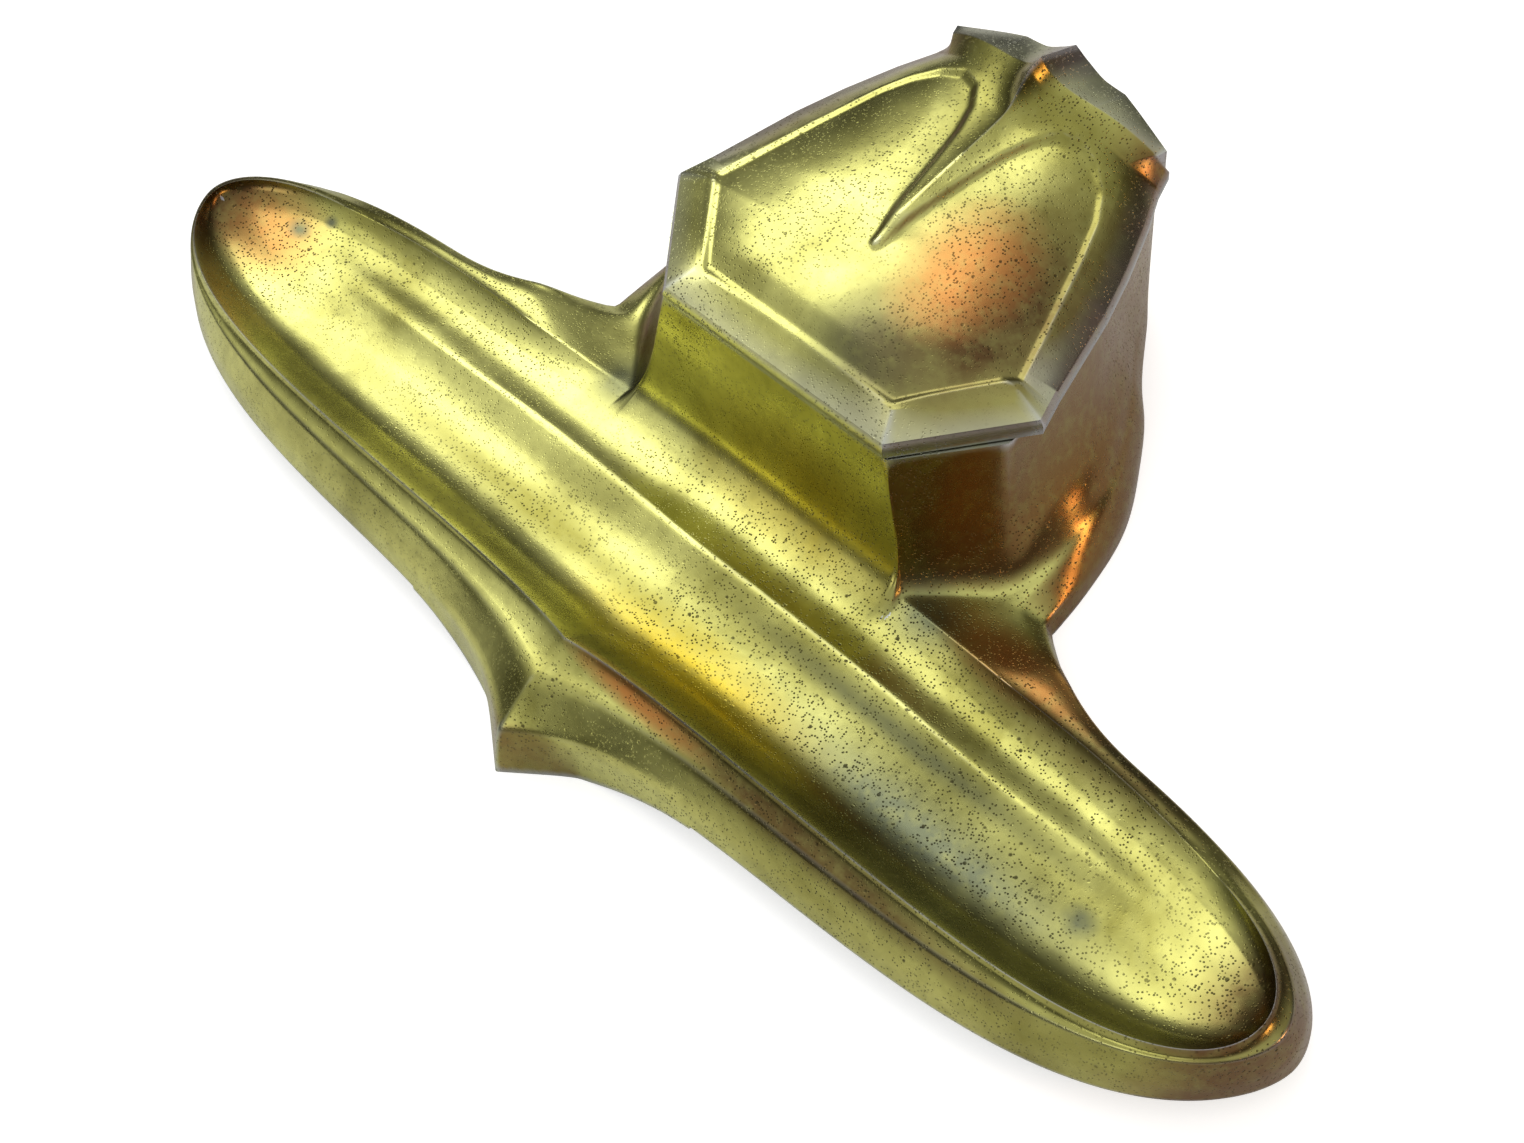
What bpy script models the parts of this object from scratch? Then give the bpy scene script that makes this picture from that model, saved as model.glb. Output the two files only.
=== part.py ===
"""A brass desk inkstand: a boat-shaped pen tray with a well box behind it, a hinged lid and a glass ink pot.

The stand is mirrored about x = 0. +X runs along the tray, -Y points at the writer and it rests on z = 0. It is
drawn with y = 0 near the tray's middle line, and moved at the end so that its centre is over the origin.
The body's skin is built between matched lines: the rim line climbs the box as its front corner edge, and the
crease line climbs it as the edge between chamfer and side.
"""

import math

import bmesh
import bpy
import numpy as np

# Tray: half lengths of its four outlines, their tips' places and the heights they run at.
RIM_HALF_LENGTH = 0.1322
CREASE_HALF_LENGTH = 0.1354
EDGE_HALF_LENGTH = 0.1376
SKIRT_HALF_LENGTH = 0.1384
RIM_TIP_Y = 0.0012
CREASE_TIP_Y = 0.0020
EDGE_TIP_Y = 0.0030
SKIRT_TIP_Y = 0.0035
RIM_HEIGHT = 0.0197
CREASE_HEIGHT = 0.0173
EDGE_HEIGHT = 0.0112
SKIRT_CLEARANCE = 0.0060

# Tray: how far each outline swells in front of and behind its tips.
RIM_FRONT = 0.0220
RIM_BACK = 0.0222
CREASE_FRONT = 0.0268
CREASE_BACK = 0.0240
EDGE_FRONT = 0.0318
EDGE_BACK = 0.0242
SKIRT_FRONT = 0.0338
SKIRT_BACK = 0.0252

# Prow: how far each outline runs out to its point, and how fast that dies away.
RIM_PROW = 0.0026
CREASE_PROW = 0.0067
EDGE_PROW = 0.0125
PROW_RUN = 0.0180

# The cove between rim and crease, as shares of its run and of its drop.
COVE_SHARES = ((0.16, 0.46), (0.52, 0.84))
COVE_REACH_X = 0.0700

# How much lower the rim and the crease run behind than at the tips, and where they have come down.
RIM_BACK_DROP = 0.0068
CREASE_BACK_DROP = 0.0050
BACK_DROP_X = 0.1080

# Shoulders: where the lines start on the well box, and how they sweep and dip towards it.
RIM_START_X = 0.0368
CREASE_START_X = 0.0505
EDGE_START_X = 0.0562
SKIRT_START_X = 0.0572
SHOULDER_REACH_X = 0.0880
DIP_REACH_X = 0.0680
TUCK_REACH_X = 0.0600
RIM_TUCK = 0.0018
CREASE_SWEEP = 0.0130
EDGE_SWEEP = 0.0129
SKIRT_SWEEP = 0.0124
RIM_DIP = 0.0022
CREASE_DIP = 0.0055
EDGE_DIP = 0.0067

# Trough: its depth and the places and depths of its floor as shares, from the front rim to the face's foot.
TROUGH_DEPTH = 0.0107
TROUGH_SHARES = (
    (0.04, 0.17), (0.10, 0.47), (0.17, 0.74), (0.25, 0.92), (0.36, 1.00), (0.48, 1.00), (0.60, 0.93),
    (0.68, 0.92), (0.75, 0.92), (0.82, 0.94), (0.91, 0.95), (1.00, 0.92),
)
FOOT_Y = 0.0190
FOOT_SWEEP_START_X = 0.0260
FOOT_SWEEP_END_X = 0.0800
FRONT_FAN_X = 0.0300
FOOT_FAN_X = 0.0330
BACK_WALL_RUN = 0.0062
RIDGE_Y = 0.0085
RIDGE_RUN = 0.0034
RIDGE_RISE = 0.0019
RIDGE_FADE_X = 0.0780
RIDGE_END_X = 0.1180

# Toe: the foot below the prow.
TOE_HALF_WIDTH = 0.0140
TOE_FRONT_Y = -0.0456
TOE_MIDDLE_Y = -0.0350
TOE_SIDE_RUN = 0.0030

# Well box: overall sizes, then the lines down it as shares of half width, depth and height.
WELL_HALF_WIDTH = 0.0600
WELL_FRONT_Y = 0.0206
WELL_DEPTH = 0.0946
WELL_HEIGHT = 0.0390
# The front face's slope: height above the trough's floor, then depth.
FACE_SHARES = (
    (0.00, 0.00), (0.03, 0.28), (0.07, 0.45), (0.12, 0.56),
    (0.26, 0.70), (0.46, 0.80), (0.73, 0.89), (1.00, 1.00),
)
FACE_TOP_SHARE = 0.124
# The front corner edge, down to the rim line: its last share is the climb above the rim.
CORNER_SHARES = (
    (0.457, 0.119, 1.000), (0.485, 0.107, 0.715), (0.510, 0.094, 0.430), (0.533, 0.081, 0.212),
    (0.557, 0.068, 0.078), (0.582, 0.057, 0.010),
)
# The edge between chamfer and side, down to the crease line: its last share is the climb above the crease.
CHAMFER_SHARES = (
    (0.687, 0.290, 1.000), (0.697, 0.284, 0.710), (0.720, 0.270, 0.420), (0.750, 0.250, 0.220),
    (0.780, 0.234, 0.080), (0.811, 0.215, 0.010),
)
# Four lines down the side, front to back: half width, depth and height, top to bottom.
SIDE_SHARES = (
    ((0.667, 0.416, 1.00), (0.683, 0.411, 0.80), (0.715, 0.406, 0.60), (0.755, 0.399, 0.46),
     (0.800, 0.388, 0.37), (0.840, 0.376, 0.29), (0.873, 0.365, 0.24),
     (0.925, 0.345, 0.12), (0.935, 0.340, 0.00)),
    ((0.617, 0.554, 1.00), (0.637, 0.552, 0.80), (0.670, 0.547, 0.60), (0.712, 0.540, 0.46),
     (0.755, 0.532, 0.37), (0.792, 0.523, 0.29), (0.825, 0.514, 0.24),
     (0.868, 0.506, 0.12), (0.875, 0.505, 0.00)),
    ((0.542, 0.691, 1.00), (0.550, 0.694, 0.80), (0.563, 0.698, 0.60), (0.583, 0.702, 0.46),
     (0.604, 0.705, 0.37), (0.625, 0.708, 0.29), (0.648, 0.709, 0.24),
     (0.690, 0.704, 0.12), (0.700, 0.694, 0.00)),
    ((0.500, 0.755, 1.00), (0.505, 0.756, 0.80), (0.512, 0.757, 0.60), (0.525, 0.757, 0.46),
     (0.538, 0.757, 0.37), (0.552, 0.757, 0.29), (0.566, 0.757, 0.24),
     (0.595, 0.754, 0.12), (0.602, 0.748, 0.00)),
)
# The back corner and the end of the back's flat, which stand upright.
BACK_SHARES = ((0.405, 0.941), (0.200, 1.000), (0.000, 1.000))

# Deck plate, the ledge it rests on, and the ink glass that hangs in it.
BODY_WALL = 0.0020
LEDGE_WIDTH = 0.0022
DECK_DROP = 0.0105
DECK_THICKNESS = 0.0012
HOLLOW_WAIST = 0.0215
WAIST_SHARES = (0.35, 0.60, 0.80, 1.00)
HOLLOW_SPAN_X = 0.0400
HOLLOW_STEPS = 12
HOLLOW_LOW = 0.0070
HOLLOW_SHARES = (0.25, 0.36, 0.48, 0.60, 0.68, 0.75, 0.82, 0.91, 1.00)
GLASS_Y = 0.0650
GLASS_RADIUS = 0.0235
GLASS_WALL = 0.0026
GLASS_HEIGHT = 0.0270
GLASS_FLANGE_RADIUS = 0.0270
GLASS_FLANGE_THICKNESS = 0.0025
GLASS_FLOOR = 0.0040
GLASS_MOUTH_LIP = 0.0016

# Lid: overall sizes, then the side outline as shares of half width and depth, front to back.
LID_HALF_WIDTH = 0.0443
LID_FRONT_Y = 0.0316
LID_DEPTH = 0.0836
LID_SKIRT = 0.0020
LID_BAND = 0.0033
LID_BEVEL_RISE = 0.0020
LID_BEVEL_RUN = 0.0045
LID_BAND_DRAFT = 0.0014
LID_SIDE_WALL = 0.0020
LID_TOP_WALL = 0.0022
LID_SIDE_SHARES = (
    (0.605, 0.000), (0.803, 0.129), (1.000, 0.257), (0.953, 0.340), (0.909, 0.435), (0.854, 0.555),
    (0.780, 0.675), (0.687, 0.800), (0.610, 0.885), (0.575, 0.944), (0.266, 1.000), (0.000, 1.000),
)
# Height above the bevel along the lid, as shares of the peak's rise: side, crown and spine.
PEAK_RISE = 0.0146
CREST_BACK_SHARE = 0.875
CREST_SIDE_SHARE = 0.915
LID_RISE_SHARES = (
    (0.00, 0.00, 0.00, 0.00), (0.10, 0.00, 0.25, 0.00), (0.20, 0.00, 0.34, 0.00), (0.35, 0.01, 0.37, 0.00),
    (0.45, 0.02, 0.41, 0.09), (0.60, 0.04, 0.43, 0.10), (0.72, 0.08, 0.44, 0.10), (0.84, 0.13, 0.46, 0.11),
    (0.88, 0.15, 0.49, 0.17), (0.92, 0.16, 0.53, 0.31), (0.96, 0.17, 0.57, 0.41), (1.00, 0.17, 0.59, 0.41),
)
SPINE_WIDTH_SHARE = 0.13
CROWN_POWER = 3.0
BACK_EDGE_SHARES = ((0.0, 0.66), (0.12, 0.50), (0.30, 0.33), (0.60, 0.28), (1.0, 0.17))
RECESS_DEPTH = 0.0008
RECESS_BANK = 0.0016
# The recessed panel's outline, as shares of half width and depth, from the spine round to the front.
PANEL_SHARES = (
    (0.000, 0.340), (0.033, 0.459), (0.067, 0.579), (0.100, 0.675), (0.144, 0.746), (0.211, 0.798),
    (0.310, 0.818), (0.421, 0.801), (0.517, 0.758), (0.588, 0.699), (0.654, 0.603), (0.721, 0.495),
    (0.787, 0.388), (0.843, 0.295), (0.521, 0.079), (0.000, 0.079),
)

# Hinge.
LEAF_WIDTH = 0.0160
LEAF_THICKNESS = 0.0008
LEAF_HEIGHT = 0.0085
LID_LEAF_WIDTH = 0.0080
LID_LEAF_HEIGHT = 0.0036
BARREL_RADIUS = 0.0018
PIN_RADIUS = 0.0008
PIN_CLEARANCE = 0.0002
PIN_HEAD_RADIUS = 0.0014
PIN_HEAD_LENGTH = 0.0007
KNUCKLE_WIDTH = 0.0052
RIVET_RADIUS = 0.0007
RIVET_HEAD_RADIUS = 0.0014
RIVET_HEAD_HEIGHT = 0.0006
RIVET_SPACING = 0.0100

# Looks: colour and roughness.
CAST_LOOK = ((0.52, 0.47, 0.16), 0.32)
PLATE_LOOK = ((0.50, 0.40, 0.16), 0.38)
GLASS_LOOK = ((0.86, 0.92, 0.88), 0.08)

# Fits.
SEAT_GAP = 0.0003
CUT_OVERRUN = 0.0010

# How finely the skins are divided.
FRONT_STEPS = 10
LINE_STEPS = 2
TRAY_STEPS = 24
WALL_ROWS = 8
STRIP_STEPS = 3
LID_ROW_STEPS = 3
LID_COLUMNS = 12
ROUND_SEGMENTS = 40
SMALL_SEGMENTS = 20

HINGE_Y = WELL_FRONT_Y + WELL_DEPTH + SEAT_GAP + BARREL_RADIUS
HINGE_Z = WELL_HEIGHT + SEAT_GAP / 2
LID_BASE_Z = WELL_HEIGHT + SEAT_GAP
BACK_Y = WELL_FRONT_Y + WELL_DEPTH


def clear_scene():
    for found in list(bpy.data.objects):
        bpy.data.objects.remove(found, do_unlink=True)


def metal(name, colour, roughness):
    material = bpy.data.materials.new(name)
    material.use_nodes = True
    shader = material.node_tree.nodes["Principled BSDF"]
    shader.inputs["Base Color"].default_value = (*colour, 1)
    shader.inputs["Roughness"].default_value = roughness
    shader.inputs["Metallic"].default_value = 1
    return material


def glass(name):
    material = metal(name, *GLASS_LOOK)
    shader = material.node_tree.nodes["Principled BSDF"]
    shader.inputs["Metallic"].default_value = 0
    shader.inputs["Transmission Weight"].default_value = 1
    return material


def add_object(name, mesh, material=None):
    made = bpy.data.objects.new(name, mesh)
    bpy.context.scene.collection.objects.link(made)
    if material:
        mesh.materials.append(material)
    return made


def mesh_from(name, points, faces):
    """A closed mesh from points and faces, in which points that coincide are one."""
    work = bmesh.new()
    corners = {}
    index = []
    for point in points:
        key = tuple(np.round(point, 7) + 0.0)
        if key not in corners:
            corners[key] = work.verts.new(point)
        index.append(corners[key])
    for face in faces:
        loop = []
        for corner in (index[i] for i in face):
            if corner not in loop:
                loop.append(corner)
        if len(loop) > 2 and not work.faces.get(loop):
            work.faces.new(loop)
    bmesh.ops.recalc_face_normals(work, faces=work.faces)
    mesh = bpy.data.meshes.new(name)
    work.to_mesh(mesh)
    work.free()
    return mesh


def skin(name, grids, loops):
    """A closed mesh from grids of points on the right, their mirror images and whole loops."""
    points, faces = [], []
    for grid in grids:
        grid = np.asarray(grid, float)
        for side in (1, -1):
            start = len(points)
            points += list(grid.reshape(-1, 3) * (side, 1, 1))
            rows, columns = grid.shape[:2]
            for i in range(rows - 1):
                for j in range(columns - 1):
                    a = start + i * columns + j
                    faces.append((a, a + 1, a + columns + 1, a + columns))
    for loop in loops:
        faces.append(tuple(range(len(points), len(points) + len(loop))))
        points += list(loop)
    return mesh_from(name, points, faces)


def both_sides(half):
    """A loop from its right half, which starts and ends on the middle plane."""
    half = [tuple(point) for point in half]
    return half + [(-x, y, z) for x, y, z in half[-2:0:-1]]


def shade(made, angle=math.radians(30)):
    made.data.shade_smooth()
    made.data.set_sharp_from_angle(angle=angle)
    return made


def cutter(made):
    made.hide_render = True
    made.display_type = "WIRE"
    return made


def combine(body, other, operation):
    modifier = body.modifiers.new(other.name, "BOOLEAN")
    modifier.operation = operation
    modifier.object = cutter(other)
    modifier.solver = "EXACT"


def rings_faces(count, around, caps=True):
    """Quads between rings of points, with a cap on the first and the last ring where they are open."""
    faces = []
    for ring in range(count - 1):
        for i in range(around):
            j = (i + 1) % around
            a, b = ring * around, (ring + 1) * around
            faces.append((a + i, a + j, b + j, b + i))
    if caps:
        faces.append(tuple(range(around)))
        faces.append(tuple((count - 1) * around + i for i in range(around)))
    return faces


def loft(name, rings, caps=True):
    points = [point for ring in rings for point in ring]
    return mesh_from(name, points, rings_faces(len(rings), len(rings[0]), caps))


def curve_through(points, steps):
    """A Catmull-Rom curve through the points, with its own number of steps for each stretch."""
    points = np.asarray(points, float)
    padded = np.vstack([2 * points[0] - points[1], points, 2 * points[-1] - points[-2]])
    out = []
    for i, count in enumerate(steps):
        a, b, c, d = padded[i:i + 4]
        for t in np.arange(count) / count:
            out.append(0.5 * (2 * b + (c - a) * t + (2 * a - 5 * b + 4 * c - d) * t ** 2
                              + (3 * b - a - 3 * c + d) * t ** 3))
    out.append(points[len(steps)])
    return np.array(out)


def smoothstep(share):
    share = np.clip(share, 0, 1)
    return share * share * (3 - 2 * share)


def between(start, end, steps):
    """Points in a straight line from each start to its end, as a grid with steps + 1 rows."""
    start, end = np.asarray(start, float), np.asarray(end, float)
    return np.array([start + (end - start) * i / steps for i in range(steps + 1)])


def place(x, y, z):
    """Points from their coordinates, each an array or a single value."""
    return np.stack(np.broadcast_arrays(x, y, z), axis=-1)


def swell(x, half_length, power, size, roundness):
    return size * np.clip(1 - (x / half_length) ** power, 0, 1) ** roundness


def prow(x, size):
    return size * np.exp(-x / PROW_RUN) * np.clip(1 - x / RIM_HALF_LENGTH, 0, 1)


def sweep(x, start, power):
    """1 where a line starts on the well box, falling to 0 at the end of the shoulder."""
    return np.clip((SHOULDER_REACH_X - x) / (SHOULDER_REACH_X - start), 0, None) ** power


def dip(x, start):
    """1 where a line starts on the well box, easing to 0 where it has climbed to its own height."""
    return smoothstep((DIP_REACH_X - x) / (DIP_REACH_X - start))


def lowered(x, half_length):
    """0 at the tip, rising to 1 where a line behind has come down from it."""
    return np.clip((half_length - x) / (half_length - BACK_DROP_X), 0, 1) ** 0.8


def rim_front(x):
    y = RIM_TIP_Y - swell(x, RIM_HALF_LENGTH, 5.8, RIM_FRONT, 0.5) - prow(x, RIM_PROW)
    return place(x, y, RIM_HEIGHT)


def crease_front(x):
    y = CREASE_TIP_Y - swell(x, CREASE_HALF_LENGTH, 5.0, CREASE_FRONT, 0.58) - prow(x, CREASE_PROW)
    return place(x, y, CREASE_HEIGHT)


def edge_front(x):
    y = EDGE_TIP_Y - swell(x, EDGE_HALF_LENGTH, 4.8, EDGE_FRONT, 0.6) - prow(x, EDGE_PROW)
    return place(x, y, EDGE_HEIGHT)


def skirt_front(x):
    """The skirt's lower edge in front; at the toe it runs out and down to the desk."""
    y = SKIRT_TIP_Y - swell(x, SKIRT_HALF_LENGTH, 4.8, SKIRT_FRONT, 0.6) - prow(x, EDGE_PROW)
    bow = np.sqrt(np.clip(1 - (x / TOE_HALF_WIDTH) ** 2, 0, 1))
    toe_y = TOE_MIDDLE_Y + (TOE_FRONT_Y - TOE_MIDDLE_Y) * bow
    lift = np.clip((x - TOE_HALF_WIDTH) / TOE_SIDE_RUN + 1, 0, 1)
    return place(x, np.where(x < TOE_HALF_WIDTH, np.minimum(y, toe_y), y), SKIRT_CLEARANCE * lift)


def rim_back(x):
    tuck = np.clip((TUCK_REACH_X - x) / (TUCK_REACH_X - RIM_START_X), 0, None)
    y = RIM_TIP_Y + swell(x, RIM_HALF_LENGTH, 5.2, RIM_BACK, 0.5) + RIM_TUCK * tuck
    z = RIM_HEIGHT - RIM_BACK_DROP * lowered(x, RIM_HALF_LENGTH) - RIM_DIP * dip(x, RIM_START_X)
    return place(x, y, z)


def crease_back(x):
    y = CREASE_TIP_Y + swell(x, CREASE_HALF_LENGTH, 4.4, CREASE_BACK, 0.5)
    drop = CREASE_BACK_DROP * lowered(x, CREASE_HALF_LENGTH)
    z = CREASE_HEIGHT - drop - CREASE_DIP * dip(x, CREASE_START_X)
    return place(x, y + CREASE_SWEEP * sweep(x, CREASE_START_X, 2.5), z)


def edge_back(x):
    y = EDGE_TIP_Y + swell(x, EDGE_HALF_LENGTH, 5.2, EDGE_BACK, 0.5)
    z = EDGE_HEIGHT - EDGE_DIP * dip(x, EDGE_START_X)
    return place(x, y + EDGE_SWEEP * sweep(x, EDGE_START_X, 2.2), z)


def skirt_back(x):
    y = SKIRT_TIP_Y + swell(x, SKIRT_HALF_LENGTH, 5.6, SKIRT_BACK, 0.5)
    z = SKIRT_CLEARANCE * (1 - np.clip(sweep(x, SKIRT_START_X, 1.2), 0, 1))
    return place(x, y + SKIRT_SWEEP * sweep(x, SKIRT_START_X, 2.2), z)


def well_place(half_width, depth, height):
    return half_width * WELL_HALF_WIDTH, WELL_FRONT_Y + depth * WELL_DEPTH, height


def tray_places(start, half_length):
    """Places along x from the well box to the tip, closer together towards the tip."""
    turn = np.linspace(0, math.pi / 2, TRAY_STEPS + 1)
    return start + (half_length - start) * np.sin(turn)


def box_line(shares, foot, ahead):
    """A line down the box from its table of shares, through the foot it shares with a line of the tray."""
    points = []
    for half_width, depth, climb in shares:
        points.append(well_place(half_width, depth, foot[2] + climb * (WELL_HEIGHT - foot[2])))
    points += [tuple(foot), tuple(ahead)]
    return curve_through(points, [LINE_STEPS] * len(shares))


def front_places():
    """The columns' places along the front rim, from the middle to the tip."""
    shares = (np.arange(FRONT_STEPS + 1) / FRONT_STEPS) ** 1.3
    fan = np.append(shares * FRONT_FAN_X, [TOE_HALF_WIDTH, TOE_HALF_WIDTH - TOE_SIDE_RUN])
    fan = np.unique(np.round(fan, 7))
    lines = len(CORNER_SHARES) * LINE_STEPS
    corner = np.linspace(FRONT_FAN_X, RIM_START_X, lines + 1)[1:]
    return fan, corner, tray_places(RIM_START_X, RIM_HALF_LENGTH)[1:]


def back_columns():
    """Matched points for each column: the front rim, the trough's foot and the rim behind it."""
    fan, corner, tray = front_places()
    front = rim_front(np.concatenate([fan, corner, tray]))
    share = fan / FRONT_FAN_X
    top_y = WELL_FRONT_Y + (FACE_TOP_SHARE + share * (CORNER_SHARES[0][1] - FACE_TOP_SHARE)) * WELL_DEPTH
    top = place(share * CORNER_SHARES[0][0] * WELL_HALF_WIDTH, top_y, WELL_HEIGHT)
    tray_line = rim_back(tray_places(RIM_START_X, RIM_HALF_LENGTH))
    edge = box_line(CORNER_SHARES, tray_line[0], tray_line[1])
    back = np.vstack([top, edge[1:], tray_line[1:]])
    under_corner = np.linspace(FOOT_FAN_X, RIM_START_X, len(corner) + 1)[1:]
    foot_x = np.concatenate([share * FOOT_FAN_X, under_corner, tray])
    room = np.clip(1 - (foot_x / RIM_HALF_LENGTH) ** 6, 0, 1) ** 0.5
    apart = smoothstep((foot_x - FOOT_SWEEP_START_X) / (FOOT_SWEEP_END_X - FOOT_SWEEP_START_X))
    foot_y = FOOT_Y * (1 - apart) + (rim_back(foot_x)[:, 1] - BACK_WALL_RUN * room) * apart
    foot = place(foot_x, foot_y, RIM_HEIGHT - TROUGH_DEPTH * TROUGH_SHARES[-1][1] * room)
    return front, foot, back, room


def trough_floor(across, y, x, room):
    """Height of the trough's floor: its table of depths, less the long ridge."""
    places, depths = np.array([(0, 0), *TROUGH_SHARES]).T
    depth = TROUGH_DEPTH * np.interp(across, places, depths)
    fade = 1 - smoothstep((x - RIDGE_FADE_X) / (RIDGE_END_X - RIDGE_FADE_X))
    depth -= RIDGE_RISE * fade * np.exp(-((y - RIDGE_Y) / RIDGE_RUN) ** 2)
    return RIM_HEIGHT - depth * room


def face_profile(climb):
    """How far the face has run back where it has climbed this share of its height."""
    heights, depths = np.array(FACE_SHARES).T
    return np.interp(climb, heights, depths)


def trough_grid():
    """The trough from the front rim to its foot and on up the box's face or its own back wall."""
    front, foot, back, room = back_columns()
    rows = [front]
    for across, _ in TROUGH_SHARES:
        row = front + (foot - front) * across
        row[:, 2] = trough_floor(across, row[:, 1], row[:, 0], room)
        rows.append(row)
    rows[-1] = foot
    reach = (back[:, 2] - foot[:, 2]) / (WELL_HEIGHT - foot[:, 2])
    for i in range(1, WALL_ROWS + 1):
        climb = (i / WALL_ROWS) ** 1.4
        row = foot + (back - foot) * climb
        run = face_profile(climb * reach) / np.maximum(face_profile(reach), SEAT_GAP)
        row[:, 1] = foot[:, 1] + (back[:, 1] - foot[:, 1]) * (run if i < WALL_ROWS else 1)
        rows.append(row)
    return np.array(rows)


def stretched(x, half_length):
    """A place along the rim moved out to the same place along a longer line."""
    return x + (half_length - RIM_HALF_LENGTH) * (x / RIM_HALF_LENGTH) ** 3


def cove(rim, crease, bend):
    """Rows from the rim to the crease: straight where bend is 0, hollowed where it is 1."""
    rows = between(rim, crease, STRIP_STEPS)
    for row, (run, drop) in zip(rows[1:], COVE_SHARES):
        hollowed = rim + (crease - rim) * (run, run, drop)
        row += (hollowed - row) * np.asarray(bend)[:, None]
    return rows


def front_grid():
    """The tray's front from the rim down to the skirt's lower edge."""
    places = np.concatenate(front_places())
    rim = rim_front(places)
    crease = crease_front(stretched(places, CREASE_HALF_LENGTH))
    edge = edge_front(stretched(places, EDGE_HALF_LENGTH))
    skirt = skirt_front(stretched(places, SKIRT_HALF_LENGTH))
    hollowed = cove(rim, crease, np.ones(len(places)))
    return np.vstack([hollowed, between(crease, edge, 2)[1:], between(edge, skirt, 2)[1:]])


def crease_columns():
    """The box's chamfer edge from its top down to the crease line, then that line to the tip."""
    tray_line = crease_back(tray_places(CREASE_START_X, CREASE_HALF_LENGTH))
    edge = box_line(CHAMFER_SHARES, tray_line[0], tray_line[1])
    return np.vstack([edge, tray_line[1:]])


def ledge_grid():
    """The chamfer of the box and the ledge behind the rim, as one strip."""
    corner = back_columns()[2][len(front_places()[0]) - 1:]
    bend = smoothstep((corner[:, 0] - RIM_START_X) / (COVE_REACH_X - RIM_START_X))
    return cove(corner, crease_columns(), bend)


def back_rows():
    """The tray's back below the crease, from the box's foot to the tip."""
    crease = crease_back(tray_places(CREASE_START_X, CREASE_HALF_LENGTH))
    edge = edge_back(tray_places(EDGE_START_X, EDGE_HALF_LENGTH))
    skirt = skirt_back(tray_places(SKIRT_START_X, SKIRT_HALF_LENGTH))
    return np.array([crease, (crease + edge) / 2, edge, (edge + skirt) / 2, skirt])


def side_grid():
    """The box's side and back: rows from top to desk, columns from the chamfer edge round to the middle."""
    chamfer = np.vstack([crease_columns()[:len(CHAMFER_SHARES) * LINE_STEPS], back_rows()[:, 0]])
    ribs = [chamfer]
    for shares in SIDE_SHARES:
        line = [well_place(*point[:2], point[2] * WELL_HEIGHT) for point in shares]
        ribs.append(curve_through(line, [LINE_STEPS] * (len(line) - 1)))
    heights = ribs[-1][:, 2]
    for half_width, depth in BACK_SHARES:
        x, y, _ = well_place(half_width, depth, 0)
        ribs.append(place(x, y, heights))
    rows = []
    for row in np.array(ribs).swapaxes(0, 1):
        bulge = curve_through(row[:4], [STRIP_STEPS] * 3)
        rows.append(np.vstack([bulge, row[4:]]))
    return np.array(rows)


def build_skin(name):
    """The whole outside of tray, box and toe as one closed shape."""
    trough, front, ledge, back, side = trough_grid(), front_grid(), ledge_grid(), back_rows(), side_grid()
    top_edge = trough[-1][:len(front_places()[0])]
    top = both_sides(np.vstack([top_edge, ledge[1:, 0], side[0][1:]]))
    tray_start = len(front_places()[0]) + len(front_places()[1]) - 1
    foot = both_sides(np.vstack([front[-1][:tray_start + 1], side[-1]]))
    sole = between(front[-1][tray_start:], back[-1], 1)
    return skin(name, [trough, front, ledge, back, side, sole], [top, foot])


def line_at(line, height):
    """Where a line of points down the box passes a height, as (x, y)."""
    heights = np.round(line[::-1, 2], 9)
    return np.interp(height, heights, line[::-1, 0]), np.interp(height, heights, line[::-1, 1])


def well_ring(height):
    """The box's outside loop at a height; below its waist the front keeps the waist's outline."""
    waist = max(height, HOLLOW_WAIST)
    foot_z = RIM_HEIGHT - TROUGH_DEPTH * TROUGH_SHARES[-1][1]
    climb = max(height - foot_z, 0) / (WELL_HEIGHT - foot_z)
    face_y = FOOT_Y + (WELL_FRONT_Y + FACE_TOP_SHARE * WELL_DEPTH - FOOT_Y) * face_profile(climb)
    side = side_grid()
    corner = back_columns()[2][len(front_places()[0]) - 1:]
    corner = corner[:len(CORNER_SHARES) * LINE_STEPS - 1]
    corner_x, corner_y = line_at(corner, waist)
    half = [(0, face_y), (corner_x, max(corner_y, face_y) if height < HOLLOW_WAIST else corner_y)]
    half.append(line_at(side[:, 0], waist))
    half += [line_at(side[:, i], height) for i in range(STRIP_STEPS, 3 * STRIP_STEPS + 1, STRIP_STEPS)]
    half += [line_at(side[:, i], height) for i in range(3 * STRIP_STEPS + 1, side.shape[1])]
    return both_sides([(x, y, height) for x, y in half])


def inset(ring, distance):
    """The ring moved inwards, each point along the mean of its two sides' normals."""
    points = np.array(ring, float)
    before, after = np.roll(points, 1, axis=0), np.roll(points, -1, axis=0)
    normals = []
    for along in (points - before, after - points):
        normal = np.stack([-along[:, 1], along[:, 0]], axis=1)
        normals.append(normal / np.linalg.norm(normal, axis=1, keepdims=True))
    mean = normals[0] + normals[1]
    mean /= np.linalg.norm(mean, axis=1, keepdims=True)
    reach = distance / np.maximum(np.sum(mean * normals[0], axis=1), 0.7)
    points[:, :2] += mean * reach[:, None]
    points[np.abs(points[:, 0]) < SEAT_GAP / 10, 0] = 0
    return [tuple(point) for point in points]


def at_height(ring, height):
    return [(x, y, height) for x, y, _ in ring]


def deck_seat():
    return WELL_HEIGHT - DECK_DROP


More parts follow.
